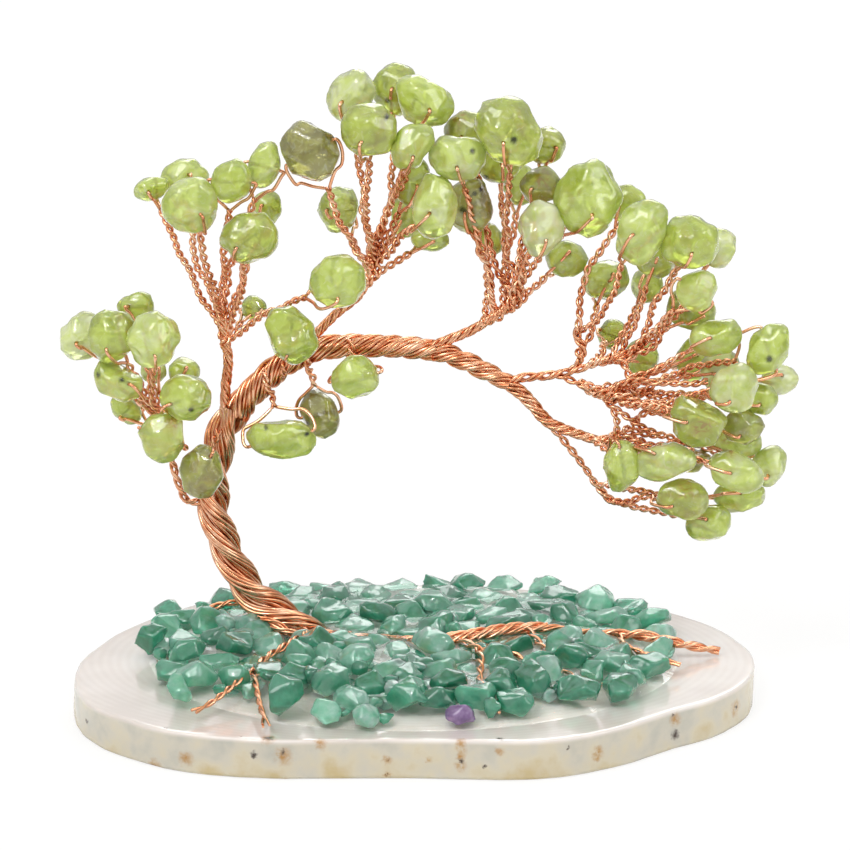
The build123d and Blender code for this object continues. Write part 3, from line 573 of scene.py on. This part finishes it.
freeStones = {joint["child"] for joint in frame["joints"]}
bores = {}
for node in sorted(frame["nodes"]):
    if not node.endswith(("_stone", "_stones")):
        continue
    blanks = blanksOf(node)
    bores[node] = [readBore(blank) for blank in blanks]
    for blank, bore in zip(blanks, bores[node]):
        tumble(blank, swingingLeaf if bodyOf[node] in freeStones else peridotLeaf)
        drill(blank, bore)
        paint(blank, "shade", np.full(len(blank.data.vertices), shadeAt(bore["centre"])))
        paintMarks(blank)
    dress(joinStones(blanks, node + "_tumbled"), node, peridot, "peridot")
print("peridot leaves:", sum(len(found) for found in bores.values()))


def chipTurn():
    spin = Matrix.Rotation(chance.uniform(0, 2 * math.pi), 4, "Z")
    return spin @ Matrix.Rotation(chance.uniform(-bedChip["tilt"], bedChip["tilt"]), 4, "X")


def breakChip(chip):
    # keep a chance part of a blank's corners, so that its hull has fewer and flatter faces
    makeActive(chip)
    setMode("EDIT")
    bpy.ops.mesh.select_mode(type="VERT")
    bpy.ops.mesh.select_all(action="DESELECT")
    setMode("OBJECT")
    for corner in chip.data.vertices:
        corner.select = chance.random() > bedChip["corners"]
    setMode("EDIT")
    bpy.ops.mesh.delete(type="VERT")
    setMode("OBJECT")


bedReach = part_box("resin_bed")[1]


def placeChip(chip, size, shift, lift):
    # turn, flatten, size and move a chip, and set its foot as high over its old one as it is lifted
    corners = cornersOf(chip)
    middle = Vector((corners.min(axis=0) + corners.max(axis=0)) / 2)
    foot = corners[:, 2].min()
    turn = chipTurn()
    wide = size * chance.uniform(*bedChip["wide"])
    flat = Matrix.Diagonal((size, wide, size * chance.uniform(*bedChip["flat"]), 1))
    chip.data.transform(
        Matrix.Translation(middle + shift) @ turn @ flat @ chipTurn() @ Matrix.Translation(-middle))
    lower = 1 - bedChip["low"] * min(max((middle.y + shift.y) / bedReach.y, 0), 1)
    chip.data.transform(Matrix.Diagonal((1, 1, lower, 1)))
    chip.data.transform(Matrix.Translation((0, 0, foot + lift - cornersOf(chip)[:, 2].min())))


rootSpots = np.concatenate([smoothLine(rows, 6) for lines in rootRows.values() for rows in lines])


def addSmallChip(chips, blank, style):
    heading = chance.uniform(0, 2 * math.pi)
    shift = Vector((math.cos(heading), math.sin(heading), 0)) * style["apart"]
    small = bpy.data.objects.new(blank.name + "_small", blank.data.copy())
    placeChip(small, chance.uniform(*style["size"]), shift, style["lift"])
    low, high = cornersOf(small).min(axis=0), cornersOf(small).max(axis=0)
    edge = max(math.hypot(x / bedReach.x, y / bedReach.y)
               for x in (low[0], high[0]) for y in (low[1], high[1]))
    # none on the pile may lie on a root or hide it from the front
    behind = rootSpots[:, :2] - (low + high)[:2] / 2 / mm
    hides = np.abs(behind[:, 0]) < rootClear["beside"]
    hides &= (behind[:, 1] > -rootClear["behind"]) & (behind[:, 1] < rootClear["before"])
    if edge < style["edge"] and (style is lowChip or not hides.any() and high[1] < style["back"]):
        bpy.context.scene.collection.objects.link(small)
        chips.append(small)


bedPieces = []
for node in sorted(frame["nodes"]):
    if not node.endswith(("_chips", "_chip")):
        continue
    chips = blanksOf(node)
    if node != "amethyst_chip":
        for chip in list(chips):
            addSmallChip(chips, chip, lowChip)
            addSmallChip(chips, chip, highChip)
            placeChip(chip, bedChip["grown"], Vector((0, 0, 0)), -bedChip["sunk"] * chance.random())
    for chip in chips:
        breakChip(chip)
        tumble(chip, bedChip)
        paint(chip, "shade", np.full(len(chip.data.vertices), chance.uniform(*bedChip["shade"])))
    piece = joinStones(chips, node + "_tumbled")
    quartz = (amethyst, "amethyst") if node == "amethyst_chip" else (aventurine, "aventurine")
    dress(piece, node, *quartz)
    bedPieces.append(piece)
print("bed chips:", len(bedPieces), "groups")

# Copper wire

wire = {"radius": 0.25 * mm, "sides": 1}  # sides: Blender's bevel resolution, 1 for six sides
# lay: the slant of the wires in degrees; stout: roots that don't fray, and how much thicker they are
rope = {"lay": 38.0, "trunkLay": 34.0, "rootLay": 30.0, "waver": 0.07 * mm, "wander": 0.5, "splay": 2.2,
        "frayed": 0.2, "spacing": 0.45 * mm, "stout": {"right_root": 1.0, "far_right_root": 1.2}}
# strands of each part of the stem, and the thickness of their wires
stemStrands = {"trunk": (3, 0.29 * mm), "main_bough": (4, 0.27 * mm), "outer_bough": (3, 0.25 * mm),
               "right_low_branch": (3, 0.24 * mm)}
# a second bundle that comes from under the trunk's foot and joins the front root
footBundle = [(-21.6, 1.6, 5.6, 1.5), (-20.0, 0.9, 4.9, 1.7), (-17.8, 0.3, 3.9, 1.7),
              (-16.0, -0.2, 3.0, 1.6), (-14.9, -0.8, 2.2, 1.3)]
twist = {"pitch": (2.5 * mm, 3.1 * mm), "open": (0.27 * mm, 0.38 * mm), "step": 0.24 * mm, "neck": 0.9 * mm,
         "clear": 0.36 * mm, "sway": 0.35 * mm, "swaySize": 3.0 * mm, "bow": 0.07, "lead": 5.0 * mm}
# twisted pairs that run across the nest of wires on the right: x, y and height of their bends, mm
crossPairs = [
    [(27.2, 0.5, 38.6), (28.2, -0.5, 40.2), (30.2, -1.0, 41.2), (32.2, -1.3, 41.5), (35.0, -1.6, 41.5),
     (38.6, -1.8, 41.2), (41.0, -1.0, 41.4)],
    [(27.2, 0.5, 38.4), (28.8, -0.8, 39.1), (30.9, -1.0, 38.5), (33.3, -1.0, 37.6), (35.9, -1.2, 36.7),
     (38.4, -1.0, 36.8)],
    [(27.0, 1.0, 37.8), (28.8, 0.0, 36.6), (30.9, -0.4, 35.1), (34.6, -0.6, 33.4)],
    [(27.3, 1.2, 38.0), (28.2, 1.0, 35.4), (28.4, 1.2, 33.8), (28.2, 1.8, 32.4)],
    [(30.6, 0.6, 40.8), (30.9, 0.8, 38.6), (31.1, 1.0, 36.8)],
    [(30.2, 0.2, 41.4), (29.6, 0.8, 43.0), (28.6, 1.6, 44.2)],
    [(30.6, 1.2, 34.2), (32.6, 0.6, 36.0), (35.9, 0.2, 36.6)],
]


def lengthsAlong(places):
    return np.concatenate(([0.0], np.cumsum(np.linalg.norm(np.diff(places, axis=0), axis=1))))


def respaced(line, spacing):
    # the same line with its points evenly apart; the first three columns are the place
    along = lengthsAlong(line[:, :3])
    even = np.linspace(0, along[-1], max(int(along[-1] / spacing) + 1, 4))
    return np.stack([np.interp(even, along, column) for column in line.T], axis=1)


def crossFrames(places, reference):
    # sideways and upward directions along a line, level with a reference
    ahead = np.gradient(places, axis=0)
    sides = units(np.cross(ahead, reference))
    return sides, units(np.cross(sides, ahead))


def carriedFrames(places):
    # the same, carried along a line without turning about it
    ahead = units(np.gradient(places, axis=0))
    side = np.cross(ahead[0], np.eye(3)[np.abs(ahead[0]).argmin()])
    sides = []
    for direction in ahead:
        side = unit(side - direction * (side @ direction))
        sides.append(side)
    return np.array(sides), np.cross(sides, ahead)


def newWires(name, radius=wire["radius"]):
    curve = bpy.data.curves.new(name, "CURVE")
    curve.dimensions = "3D"
    curve.fill_mode = "FULL"
    curve.bevel_depth = radius
    curve.bevel_resolution = wire["sides"]
    curve.use_fill_caps = True
    wires = bpy.data.objects.new(name, curve)
    bpy.context.scene.collection.objects.link(wires)
    return wires


def addWire(wires, places, thickness=None):
    spline = wires.data.splines.new("POLY")
    spline.points.add(len(places) - 1)
    spline.points.foreach_set("co", np.c_[places, np.ones(len(places))].ravel())
    if thickness is not None:
        spline.points.foreach_set("radius", thickness)


def finishWires(wires, node):
    makeActive(wires)
    bpy.ops.object.convert(target="MESH")
    bpy.ops.object.shade_smooth()
    dress(wires, node, copper, "copper")


def waverAlong(along, size):
    # a smooth chance wander between -1 and 1
    start = chance.uniform(0, 90)
    return np.array([noise.noise((start, part / size, 0.5)) for part in along])


def layRope(wires, line, strands, lay, reference, turn=0.0, frayed=False):
    # strands laid round a line of places and radii, each a sheaf of wires; returns the turn that they end on
    places, radii = line[:, :3], line[:, 3]
    gauge = wires.data.bevel_depth
    along = lengthsAlong(places)
    share = math.sin(math.pi / strands)
    sheaf = radii * share / (1 + share)
    count = round(math.pi * (sheaf.mean() - gauge) / gauge)
    if count < 2:
        count, sheaf = 1, np.full(len(radii), gauge)
    reach = np.maximum(radii - sheaf, gauge)
    rate = math.tan(math.radians(lay)) / (0.8 * radii[1:])
    if frayed:
        # the wires part at the end, side by side
        loose = np.clip((along / along[-1] - 1 + rope["frayed"]) / rope["frayed"], 0, 1)
        reach = reach * (1 + (rope["splay"] - 1) * loose ** 2)
        rate = rate * (1 - loose[1:])
        turn = -(np.diff(along) * rate).sum()
    sides, ups = crossFrames(places, reference)
    turns = turn + np.concatenate(([0.0], np.cumsum(np.diff(along) * rate)))
    if strands > 2:
        addWire(wires, places, np.maximum(reach - 0.3 * sheaf, 0.2 * gauge) / gauge)
    for strand in range(strands):
        angles = turns + 2 * math.pi * strand / strands + rope["wander"] * waverAlong(along, 9 * mm) / strands
        outward = spokes(angles, sides, ups)
        middle = places + reach[:, None] * outward
        if count == 1:
            addWire(wires, middle)
            continue
        ahead = units(np.gradient(middle, axis=0))
        outward = units(outward - ahead * (outward * ahead).sum(axis=1)[:, None])
        across = np.cross(ahead, outward)
        ring = np.maximum(sheaf - gauge, 0.5 * gauge)
        if count > 4:
            addWire(wires, middle, np.maximum(ring - 0.75 * gauge, 0.2 * gauge) / gauge)
        for number in range(count):
            around = 2 * math.pi * (number + 0.5) / count + 0.5 * waverAlong(along, 7 * mm)
            if count > 7 and np.cos(around).max() < -0.5:
                continue
            lift = ring + rope["waver"] * waverAlong(along, 4 * mm)
            last = len(places) - (int(chance.uniform(0, 0.06) * len(places)) if frayed else 0)
            addWire(wires, (middle + lift[:, None] * spokes(around, outward, across))[:last])
    return turns[-1]


def inMetres(rows):
    return [(*spot(*row[:3]), row[3] / 2 * mm) for row in rows]


def limbLine(rows):
    # a limb's rows as evenly spaced places and radii
    return respaced(smoothLine(inMetres(rows), 8), rope["spacing"])


def gaugeOf(rows):
    # thin limbs are of finer wire: four wires, or two in the thinnest
    girth = sum(row[3] for row in rows) / len(rows) / 2 * mm
    return min(wire["radius"], girth / (3.3 if girth > 0.62 * mm else 2.1))


def strandsFor(rows):
    # thick limbs are three sheaves of wire, thin ones two
    return 3 if sum(row[3] for row in rows) / len(rows) > 1.55 else 2


# the stem is one rope from foot to tip, cut at the forks; wires leave it there
fineSteps = 10
fineLine = smoothLine([row for rows in stemRows.values() for row in inMetres(rows)], fineSteps)
turn, first, last = 0.0, 0, -1
for node, rows in stemRows.items():
    last += len(rows)
    part = respaced(fineLine[first * fineSteps:last * fineSteps + 1], rope["spacing"])
    strands, gauge = stemStrands[node]
    wires = newWires(node + "_strands", gauge)
    lay = rope["trunkLay"] if node == "trunk" else rope["lay"]
    turn = layRope(wires, part, strands, lay, depthAxis, turn)
    finishWires(wires, node)
    first = last
for node, rows in branchRows.items():
    wires = newWires(node + "_strands", gaugeOf(rows))
    layRope(wires, limbLine(rows), strandsFor(rows), rope["lay"], depthAxis)
    finishWires(wires, node)
for node, lines in rootRows.items():
    wires = newWires(node + "_strands", gaugeOf(lines[0]))
    if node == "front_root":
        layRope(wires, limbLine(footBundle), 2, rope["rootLay"], upAxis)
    for rows in lines:
        line = limbLine(rows)
        line[:, 3] *= rope["stout"].get(node, 1)
        layRope(wires, line, strandsFor(rows), rope["rootLay"], upAxis, frayed=node not in rope["stout"])
    finishWires(wires, node)
print("limbs and roots laid")


def loopPath(bore, join, down, heights):
    # one wire from the twist's end round a stone's shoulder, through its bore and back up the other side
    centre, across = bore["centre"], bore["across"]
    away = bore["corners"] - centre
    sideways = away @ across
    low = away @ down > -0.6 * mm
    legs = []
    for side in (1, -1):
        arm = across * side
        out = (sideways[low] * side).max() + twist["clear"]
        leg = [join + arm * wire["radius"]]
        for share in (0.45, 0.75, 0.94):
            shoulder = heights[sideways * side > (share - 0.1) * (out - twist["clear"])].max()
            leg.append(centre + arm * out * share + down * (shoulder + twist["clear"]))
        legs.append([*leg,
                     centre + arm * (out + 0.06 * mm) + down * 0.5 * shoulder,
                     centre + arm * (out - 0.04 * mm) + down * 0.15 * shoulder,
                     centre + arm * (out - 0.4 * mm) + down * 0.02 * mm,
                     centre + arm * (out - 1.0 * mm)])
    return smoothLine([*legs[0], *reversed(legs[1])], 4)


def twistPair(stem, endAngle, opening):
    # the two wires of a pair twisted about a line
    sides, ups = carriedFrames(stem)
    along = lengthsAlong(stem)
    pitch = chance.uniform(*twist["pitch"])
    angles = endAngle(sides[-1], ups[-1]) - 2 * math.pi * (along[-1] - along) / pitch
    swing = opening[:, None] * spokes(angles, sides, ups)
    return stem + swing, stem - swing


def swayed(route):
    # hand-twisted wire is never quite straight
    stem = respaced(smoothLine(route, 8), twist["step"])
    along = lengthsAlong(stem)
    sway = min(twist["sway"], 0.04 * along[-1]) * np.sin(math.pi * along / along[-1])[:, None]
    return stem + sway * np.stack([waverAlong(along, twist["swaySize"]) for axis in range(3)], axis=1) * 2


def layTwig(wires, bore, route, free):
    # a twisted pair along its route to the stone, opening into the loop that carries it
    base = route[-1]
    down = unit(base - bore["centre"])
    away = bore["corners"] - bore["centre"]
    heights = np.linalg.norm(np.cross(away, bore["across"]), axis=1) if free else away @ down
    join = bore["centre"] + down * (heights.max() + twist["clear"] + twist["neck"])
    bend = np.array([chance.uniform(-1, 1) for axis in range(3)]) * twist["bow"] * np.linalg.norm(join - base)
    stem = swayed([*route, (base + join) / 2 + bend, join])
    opening = np.full(len(stem), chance.uniform(*twist["open"]))
    opening[-5:] = np.linspace(opening[-1], wire["radius"], 5)
    across = bore["across"]
    one, other = twistPair(stem, lambda side, up: math.atan2(across @ up, across @ side), opening)
    addWire(wires, np.concatenate((one, loopPath(bore, join, down, heights), other[::-1])))


# the turn from one pair to the next is in radians, and what runs inside the branch in steps
sprayRun = {"step": 0.5 * mm, "turn": 2.4, "aside": 0.5 * mm, "inside": 8}
twigWires = {}
for spray, (shared, branch, runEnd, freeOnes) in sprays.items():
    rows = branchRows.get(branch) or stemRows[branch]
    start, end = spot(*rows[-1][:3]), spot(*runEnd)
    axis = end - start
    crowd = [(bore, False) for bore in bores[shared + "_stones"]]
    if shared == "right_low":
        box = hangingSpray
        hanging = [box["rightOf"] * mm < bore["centre"][0] < box["leftOf"] * mm
                   and bore["centre"][2] - sliceTop < box["below"] * mm for bore, free in crowd]
        crowd = [stone for stone, hangs in zip(crowd, hanging) if hangs == (spray == "right_hanging")]
    crowd += [(bores[name][0], True) for name in freeOnes]
    crowd.sort(key=lambda stone: (stone[0]["centre"] - start) @ axis)
    node = shared + "_twigs"
    if node not in twigWires:
        twigWires[node] = newWires(node + "_twisted")
    # pairs run inside the branch first, and leave it one after the other
    limb = limbLine(rows)[:, :3]
    lead = limb[lengthsAlong(limb[::-1])[::-1] < twist["lead"]]
    track = respaced(np.concatenate((lead, [end])), sprayRun["step"])
    sideways = unit(np.cross(axis, depthAxis))
    for index, (bore, free) in enumerate(crowd):
        leaves = 2 + int((len(track) - 3) * (index + 0.8) / len(crowd))
        angle = sprayRun["turn"] * index
        offset = sprayRun["aside"] * (math.cos(angle) * sideways + math.sin(angle) * depthAxis)
        inside = track[max(leaves - sprayRun["inside"], 0):leaves + 1:2]
        route = [place + offset * part ** 2 for place, part in zip(inside, np.linspace(0, 1, len(inside)))]
        layTwig(twigWires[node], bore, route, free)
for places in crossPairs:
    stem = swayed([spot(*place) for place in places])
    for half in twistPair(stem, lambda side, up: 0.0, np.full(len(stem), chance.uniform(*twist["open"]))):
        addWire(twigWires["right_mid_twigs"], half)

limbSpots = [row for rows in (*stemRows.values(), *branchRows.values()) for row in inMetres(rows)]
for name, point in ownTwigs.items():
    node = name.replace("_stone", "_twig")
    twigWires[node] = newWires(node + "_twisted")
    # the pair passes over the front of its limb before it leaves
    point, bore = spot(*point), bores[name][0]
    girth = min(limbSpots, key=lambda limb: np.linalg.norm(limb[:3] - point))[3]
    away = unit((bore["centre"] - point) * (1, 0, 1))
    route = [point - away * 0.7 * girth - depthAxis * 0.5 * girth, point - depthAxis * (girth + 0.3 * mm),
             point + away * (girth + 0.4 * mm) - depthAxis * 0.5 * girth]
    layTwig(twigWires[node], bore, route, bodyOf[name] in freeStones)
for node, wires in twigWires.items():
    finishWires(wires, node)
print("twigs twisted:", len(twigWires))

# Agate slice and resin

slab = {"edge": 0.35 * mm, "foot": 0.5 * mm, "rows": 7, "lip": 0.6 * mm, "wave": 0.45 * mm,
        "waveSize": 9 * mm, "chip": 0.12 * mm, "chipSize": 2.2 * mm, "worn": 0.3 * mm, "crease": 38,
        "stain": 1.25,
        "bite": (36.0, -20.5, 5.0), "biteDepth": 0.6 * mm}  # bite: x, y and width in mm
pool = {"voxel": 0.5 * mm, "level": 2.6 * mm, "edge": 7.0 * mm, "under": 0.4 * mm, "lap": 0.12 * mm,
        "climb": 0.8 * mm, "climbReach": 0.8 * mm, "ripple": 0.3 * mm, "rippleSize": 2.6 * mm,
        "shore": 0.6 * mm, "smoothing": 3}


def work(piece, kind, chosen, operation, **settings):
    # pick the edges or faces whose lowest and highest corner a test accepts, and work on them
    makeActive(piece)
    setMode("EDIT")
    bpy.ops.mesh.select_mode(type="EDGE" if kind == "edges" else "FACE")
    bpy.ops.mesh.select_all(action="DESELECT")
    setMode("OBJECT")
    for item in getattr(piece.data, kind):
        heights = [piece.data.vertices[corner].co.z for corner in item.vertices]
        item.select = chosen(min(heights), max(heights))
    setMode("EDIT")
    operation(**settings)
    setMode("OBJECT")


tiny = 0.01 * mm
agateSlab = mergedCopy("agate_slice", "agate_slice_polished")
# keep the underside, and raise the slice from it
work(agateSlab, "polygons", lambda low, high: high > tiny, bpy.ops.mesh.delete, type="FACE")
setMode("EDIT")
bpy.ops.mesh.select_all(action="SELECT")
bpy.ops.mesh.dissolve_limited(angle_limit=math.radians(0.5))
bpy.ops.mesh.select_all(action="SELECT")
bpy.ops.mesh.extrude_region_move(TRANSFORM_OT_translate={"value": (0, 0, sliceTop)})
bpy.ops.mesh.select_all(action="SELECT")
bpy.ops.mesh.normals_make_consistent(inside=False)
setMode("OBJECT")
work(agateSlab, "edges", lambda low, high: high - low > sliceTop / 2,
     bpy.ops.mesh.subdivide, number_cuts=slab["rows"])
work(agateSlab, "edges", lambda low, high: low > sliceTop - tiny,
     bpy.ops.mesh.bevel, offset=slab["edge"], segments=3, affect="EDGES")
work(agateSlab, "edges", lambda low, high: high < tiny,
     bpy.ops.mesh.bevel, offset=slab["foot"], segments=2, affect="EDGES")
work(agateSlab, "polygons", lambda low, high: low > sliceTop - tiny,
     bpy.ops.mesh.inset, thickness=slab["lip"])
for vertex in agateSlab.data.vertices:
    place = vertex.co.copy()
    outward = Vector((place.x, place.y, 0)).normalized()
    x, y, width = slab["bite"]
    bite = slab["biteDepth"] * math.exp(-(math.hypot(place.x / mm - x, place.y / mm - y) / width) ** 2)
    wave = slab["wave"] * noise.noise(place / slab["waveSize"])
    chip = slab["chip"] * noise.noise(place / slab["chipSize"])
    vertex.co = place + outward * (wave + chip - bite - slab["worn"])
makeActive(agateSlab)
bpy.ops.object.shade_smooth_by_angle(angle=math.radians(slab["crease"]))
rimTree = treeOf([vertex.co for vertex in agateSlab.data.vertices])
# each mark goes to the point of the finished rim that is nearest to it
stainSpots = {kind: [(*rimTree.find(Vector(mark[:3]) * mm)[0], slab["stain"] * mark[3] * mm)
                     for mark in marks] for kind, marks in agateStains.items()}
dress(agateSlab, "agate_slice", makeAgate(stainSpots), "agate")
print("slice shaped:", len(agateSlab.data.vertices), "corners")

bed = mergedCopy("resin_bed", "resin_bed_poured")
applyModifier(bed, "REMESH", mode="VOXEL", voxel_size=pool["voxel"])
chipCorners = np.concatenate([cornersOf(piece) for piece in bedPieces])
# the chips' corners about the level of the resin, where it climbs
chipCorners = chipCorners[np.abs(chipCorners[:, 2] - sliceTop - pool["level"]) < pool["shore"]]
chipTree = treeOf([(x, y, 0) for x, y, z in chipCorners])
low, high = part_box("resin_bed")
for vertex in bed.data.vertices:
    place = vertex.co.copy()
    if place.z < (low.z + high.z) / 2:
        vertex.co.z = low.z - pool["under"]  # the underside lies in the slice, out of sight
        continue
    inward = (1 - math.hypot(place.x / high.x, place.y / high.y)) * high.y
    fade = min(max(inward / pool["edge"], 0), 1)
    near = chipTree.find((place.x, place.y, 0))[2]
    climb = pool["climb"] * math.exp(-near / pool["climbReach"])
    ripple = pool["ripple"] * noise.noise(place / pool["rippleSize"])
    swell = (3 - 2 * fade) * fade ** 2 * (pool["level"] + climb + ripple)
    vertex.co.z = low.z - pool["lap"] + swell
applyModifier(bed, "SMOOTH", factor=0.5, iterations=pool["smoothing"])
makeActive(bed)
bpy.ops.object.shade_smooth()
bed.visible_shadow = False  # clear resin lets the light through to the chips
dress(bed, "resin_bed", clearResin, "clear_resin")
print("resin poured")

# Stage, light and camera

studio = {"floor": 4.0, "white": "#FFFFFF", "fill": 0.6, "key": 3.0, "side": 1.2, "back": 2.0, "spark": 0.4,
          "horizon": 0.35, "zenith": 1.15, "paper": "#F4F3F1", "glow": 1.06, "lit": 0.72,
          "aim": (0, 0, 0.045)}
photo = {"place": (1.6, -573.78, 215.92), "elevation": 17.0, "lens": 181.5}  # mm, degrees, mm

bpy.ops.object.select_all(action="DESELECT")
bpy.ops.mesh.primitive_plane_add(size=studio["floor"], location=(0, 0, -0.02 * mm))
floor = bpy.context.object
floor.name = "studio_floor"
paper = startMaterial("studio_paper_white")
ray = addNode(paper, "ShaderNodeLightPath")
seen = addMath(paper, "MULTIPLY", ray.outputs["Is Camera Ray"], studio["lit"])
matte = addNode(paper, "ShaderNodeBsdfDiffuse", {"Color": linear(studio["paper"])})
glow = addNode(paper, "ShaderNodeEmission", {"Color": linear(studio["white"]), "Strength": studio["glow"]})
blend = addNode(paper, "ShaderNodeMixShader", (), {
    0: seen, 1: matte.outputs["BSDF"], 2: glow.outputs["Emission"]})
addNode(paper, "ShaderNodeOutputMaterial", (), {"Surface": blend.outputs["Shader"]})
floor.data.materials.append(paper)

world = bpy.data.worlds.new("studio")
world.use_nodes = True
world.node_tree.nodes.clear()
ray = addNode(world, "ShaderNodeLightPath")
shown = addMath(world, "MAXIMUM", ray.outputs["Is Camera Ray"], ray.outputs["Is Transmission Ray"])
plain = addRange(world, shown, (0.0, 1.0), (studio["fill"], 1.0))
direction = addNode(world, "ShaderNodeTexCoord").outputs["Generated"]
height = addNode(world, "ShaderNodeSeparateXYZ", (), {"Vector": direction}).outputs["Z"]
mirrored = addRange(world, height, (-0.1, 0.8), (studio["horizon"], studio["zenith"]))
strength = addNode(world, "ShaderNodeMix", (), {0: ray.outputs["Is Glossy Ray"], 2: plain, 3: mirrored})
sky = addNode(world, "ShaderNodeBackground", {"Color": linear(studio["white"])},
              {"Strength": strength.outputs[0]})
addNode(world, "ShaderNodeOutputWorld", (), {"Surface": sky.outputs["Background"]})
bpy.context.scene.world = world


def addSoftbox(name, place, size, power):
    bpy.ops.object.light_add(type="AREA", location=place)
    lamp = bpy.context.object
    lamp.name = name
    lamp.data.size = size
    lamp.data.energy = power
    lamp.rotation_euler = (Vector(studio["aim"]) - Vector(place)).to_track_quat("-Z", "Y").to_euler()


addSoftbox("key_softbox", (-0.35, -0.45, 0.75), 0.5, studio["key"])
addSoftbox("side_softbox", (0.7, -0.3, 0.45), 0.4, studio["side"])
addSoftbox("back_softbox", (0.1, 0.7, 0.6), 0.5, studio["back"])
addSoftbox("left_spark", (-0.25, -0.5, 0.65), 0.07, studio["spark"])
addSoftbox("right_spark", (0.35, -0.4, 0.7), 0.07, studio["spark"])

bpy.ops.object.camera_add(location=[value * mm for value in photo["place"]],
                          rotation=(math.radians(90 - photo["elevation"]), 0, 0))
camera = bpy.context.object
camera.data.lens = photo["lens"]
camera.data.clip_start = 0.01
bpy.context.scene.camera = camera
bpy.context.scene.view_settings.view_transform = "Standard"
print("stage lit")
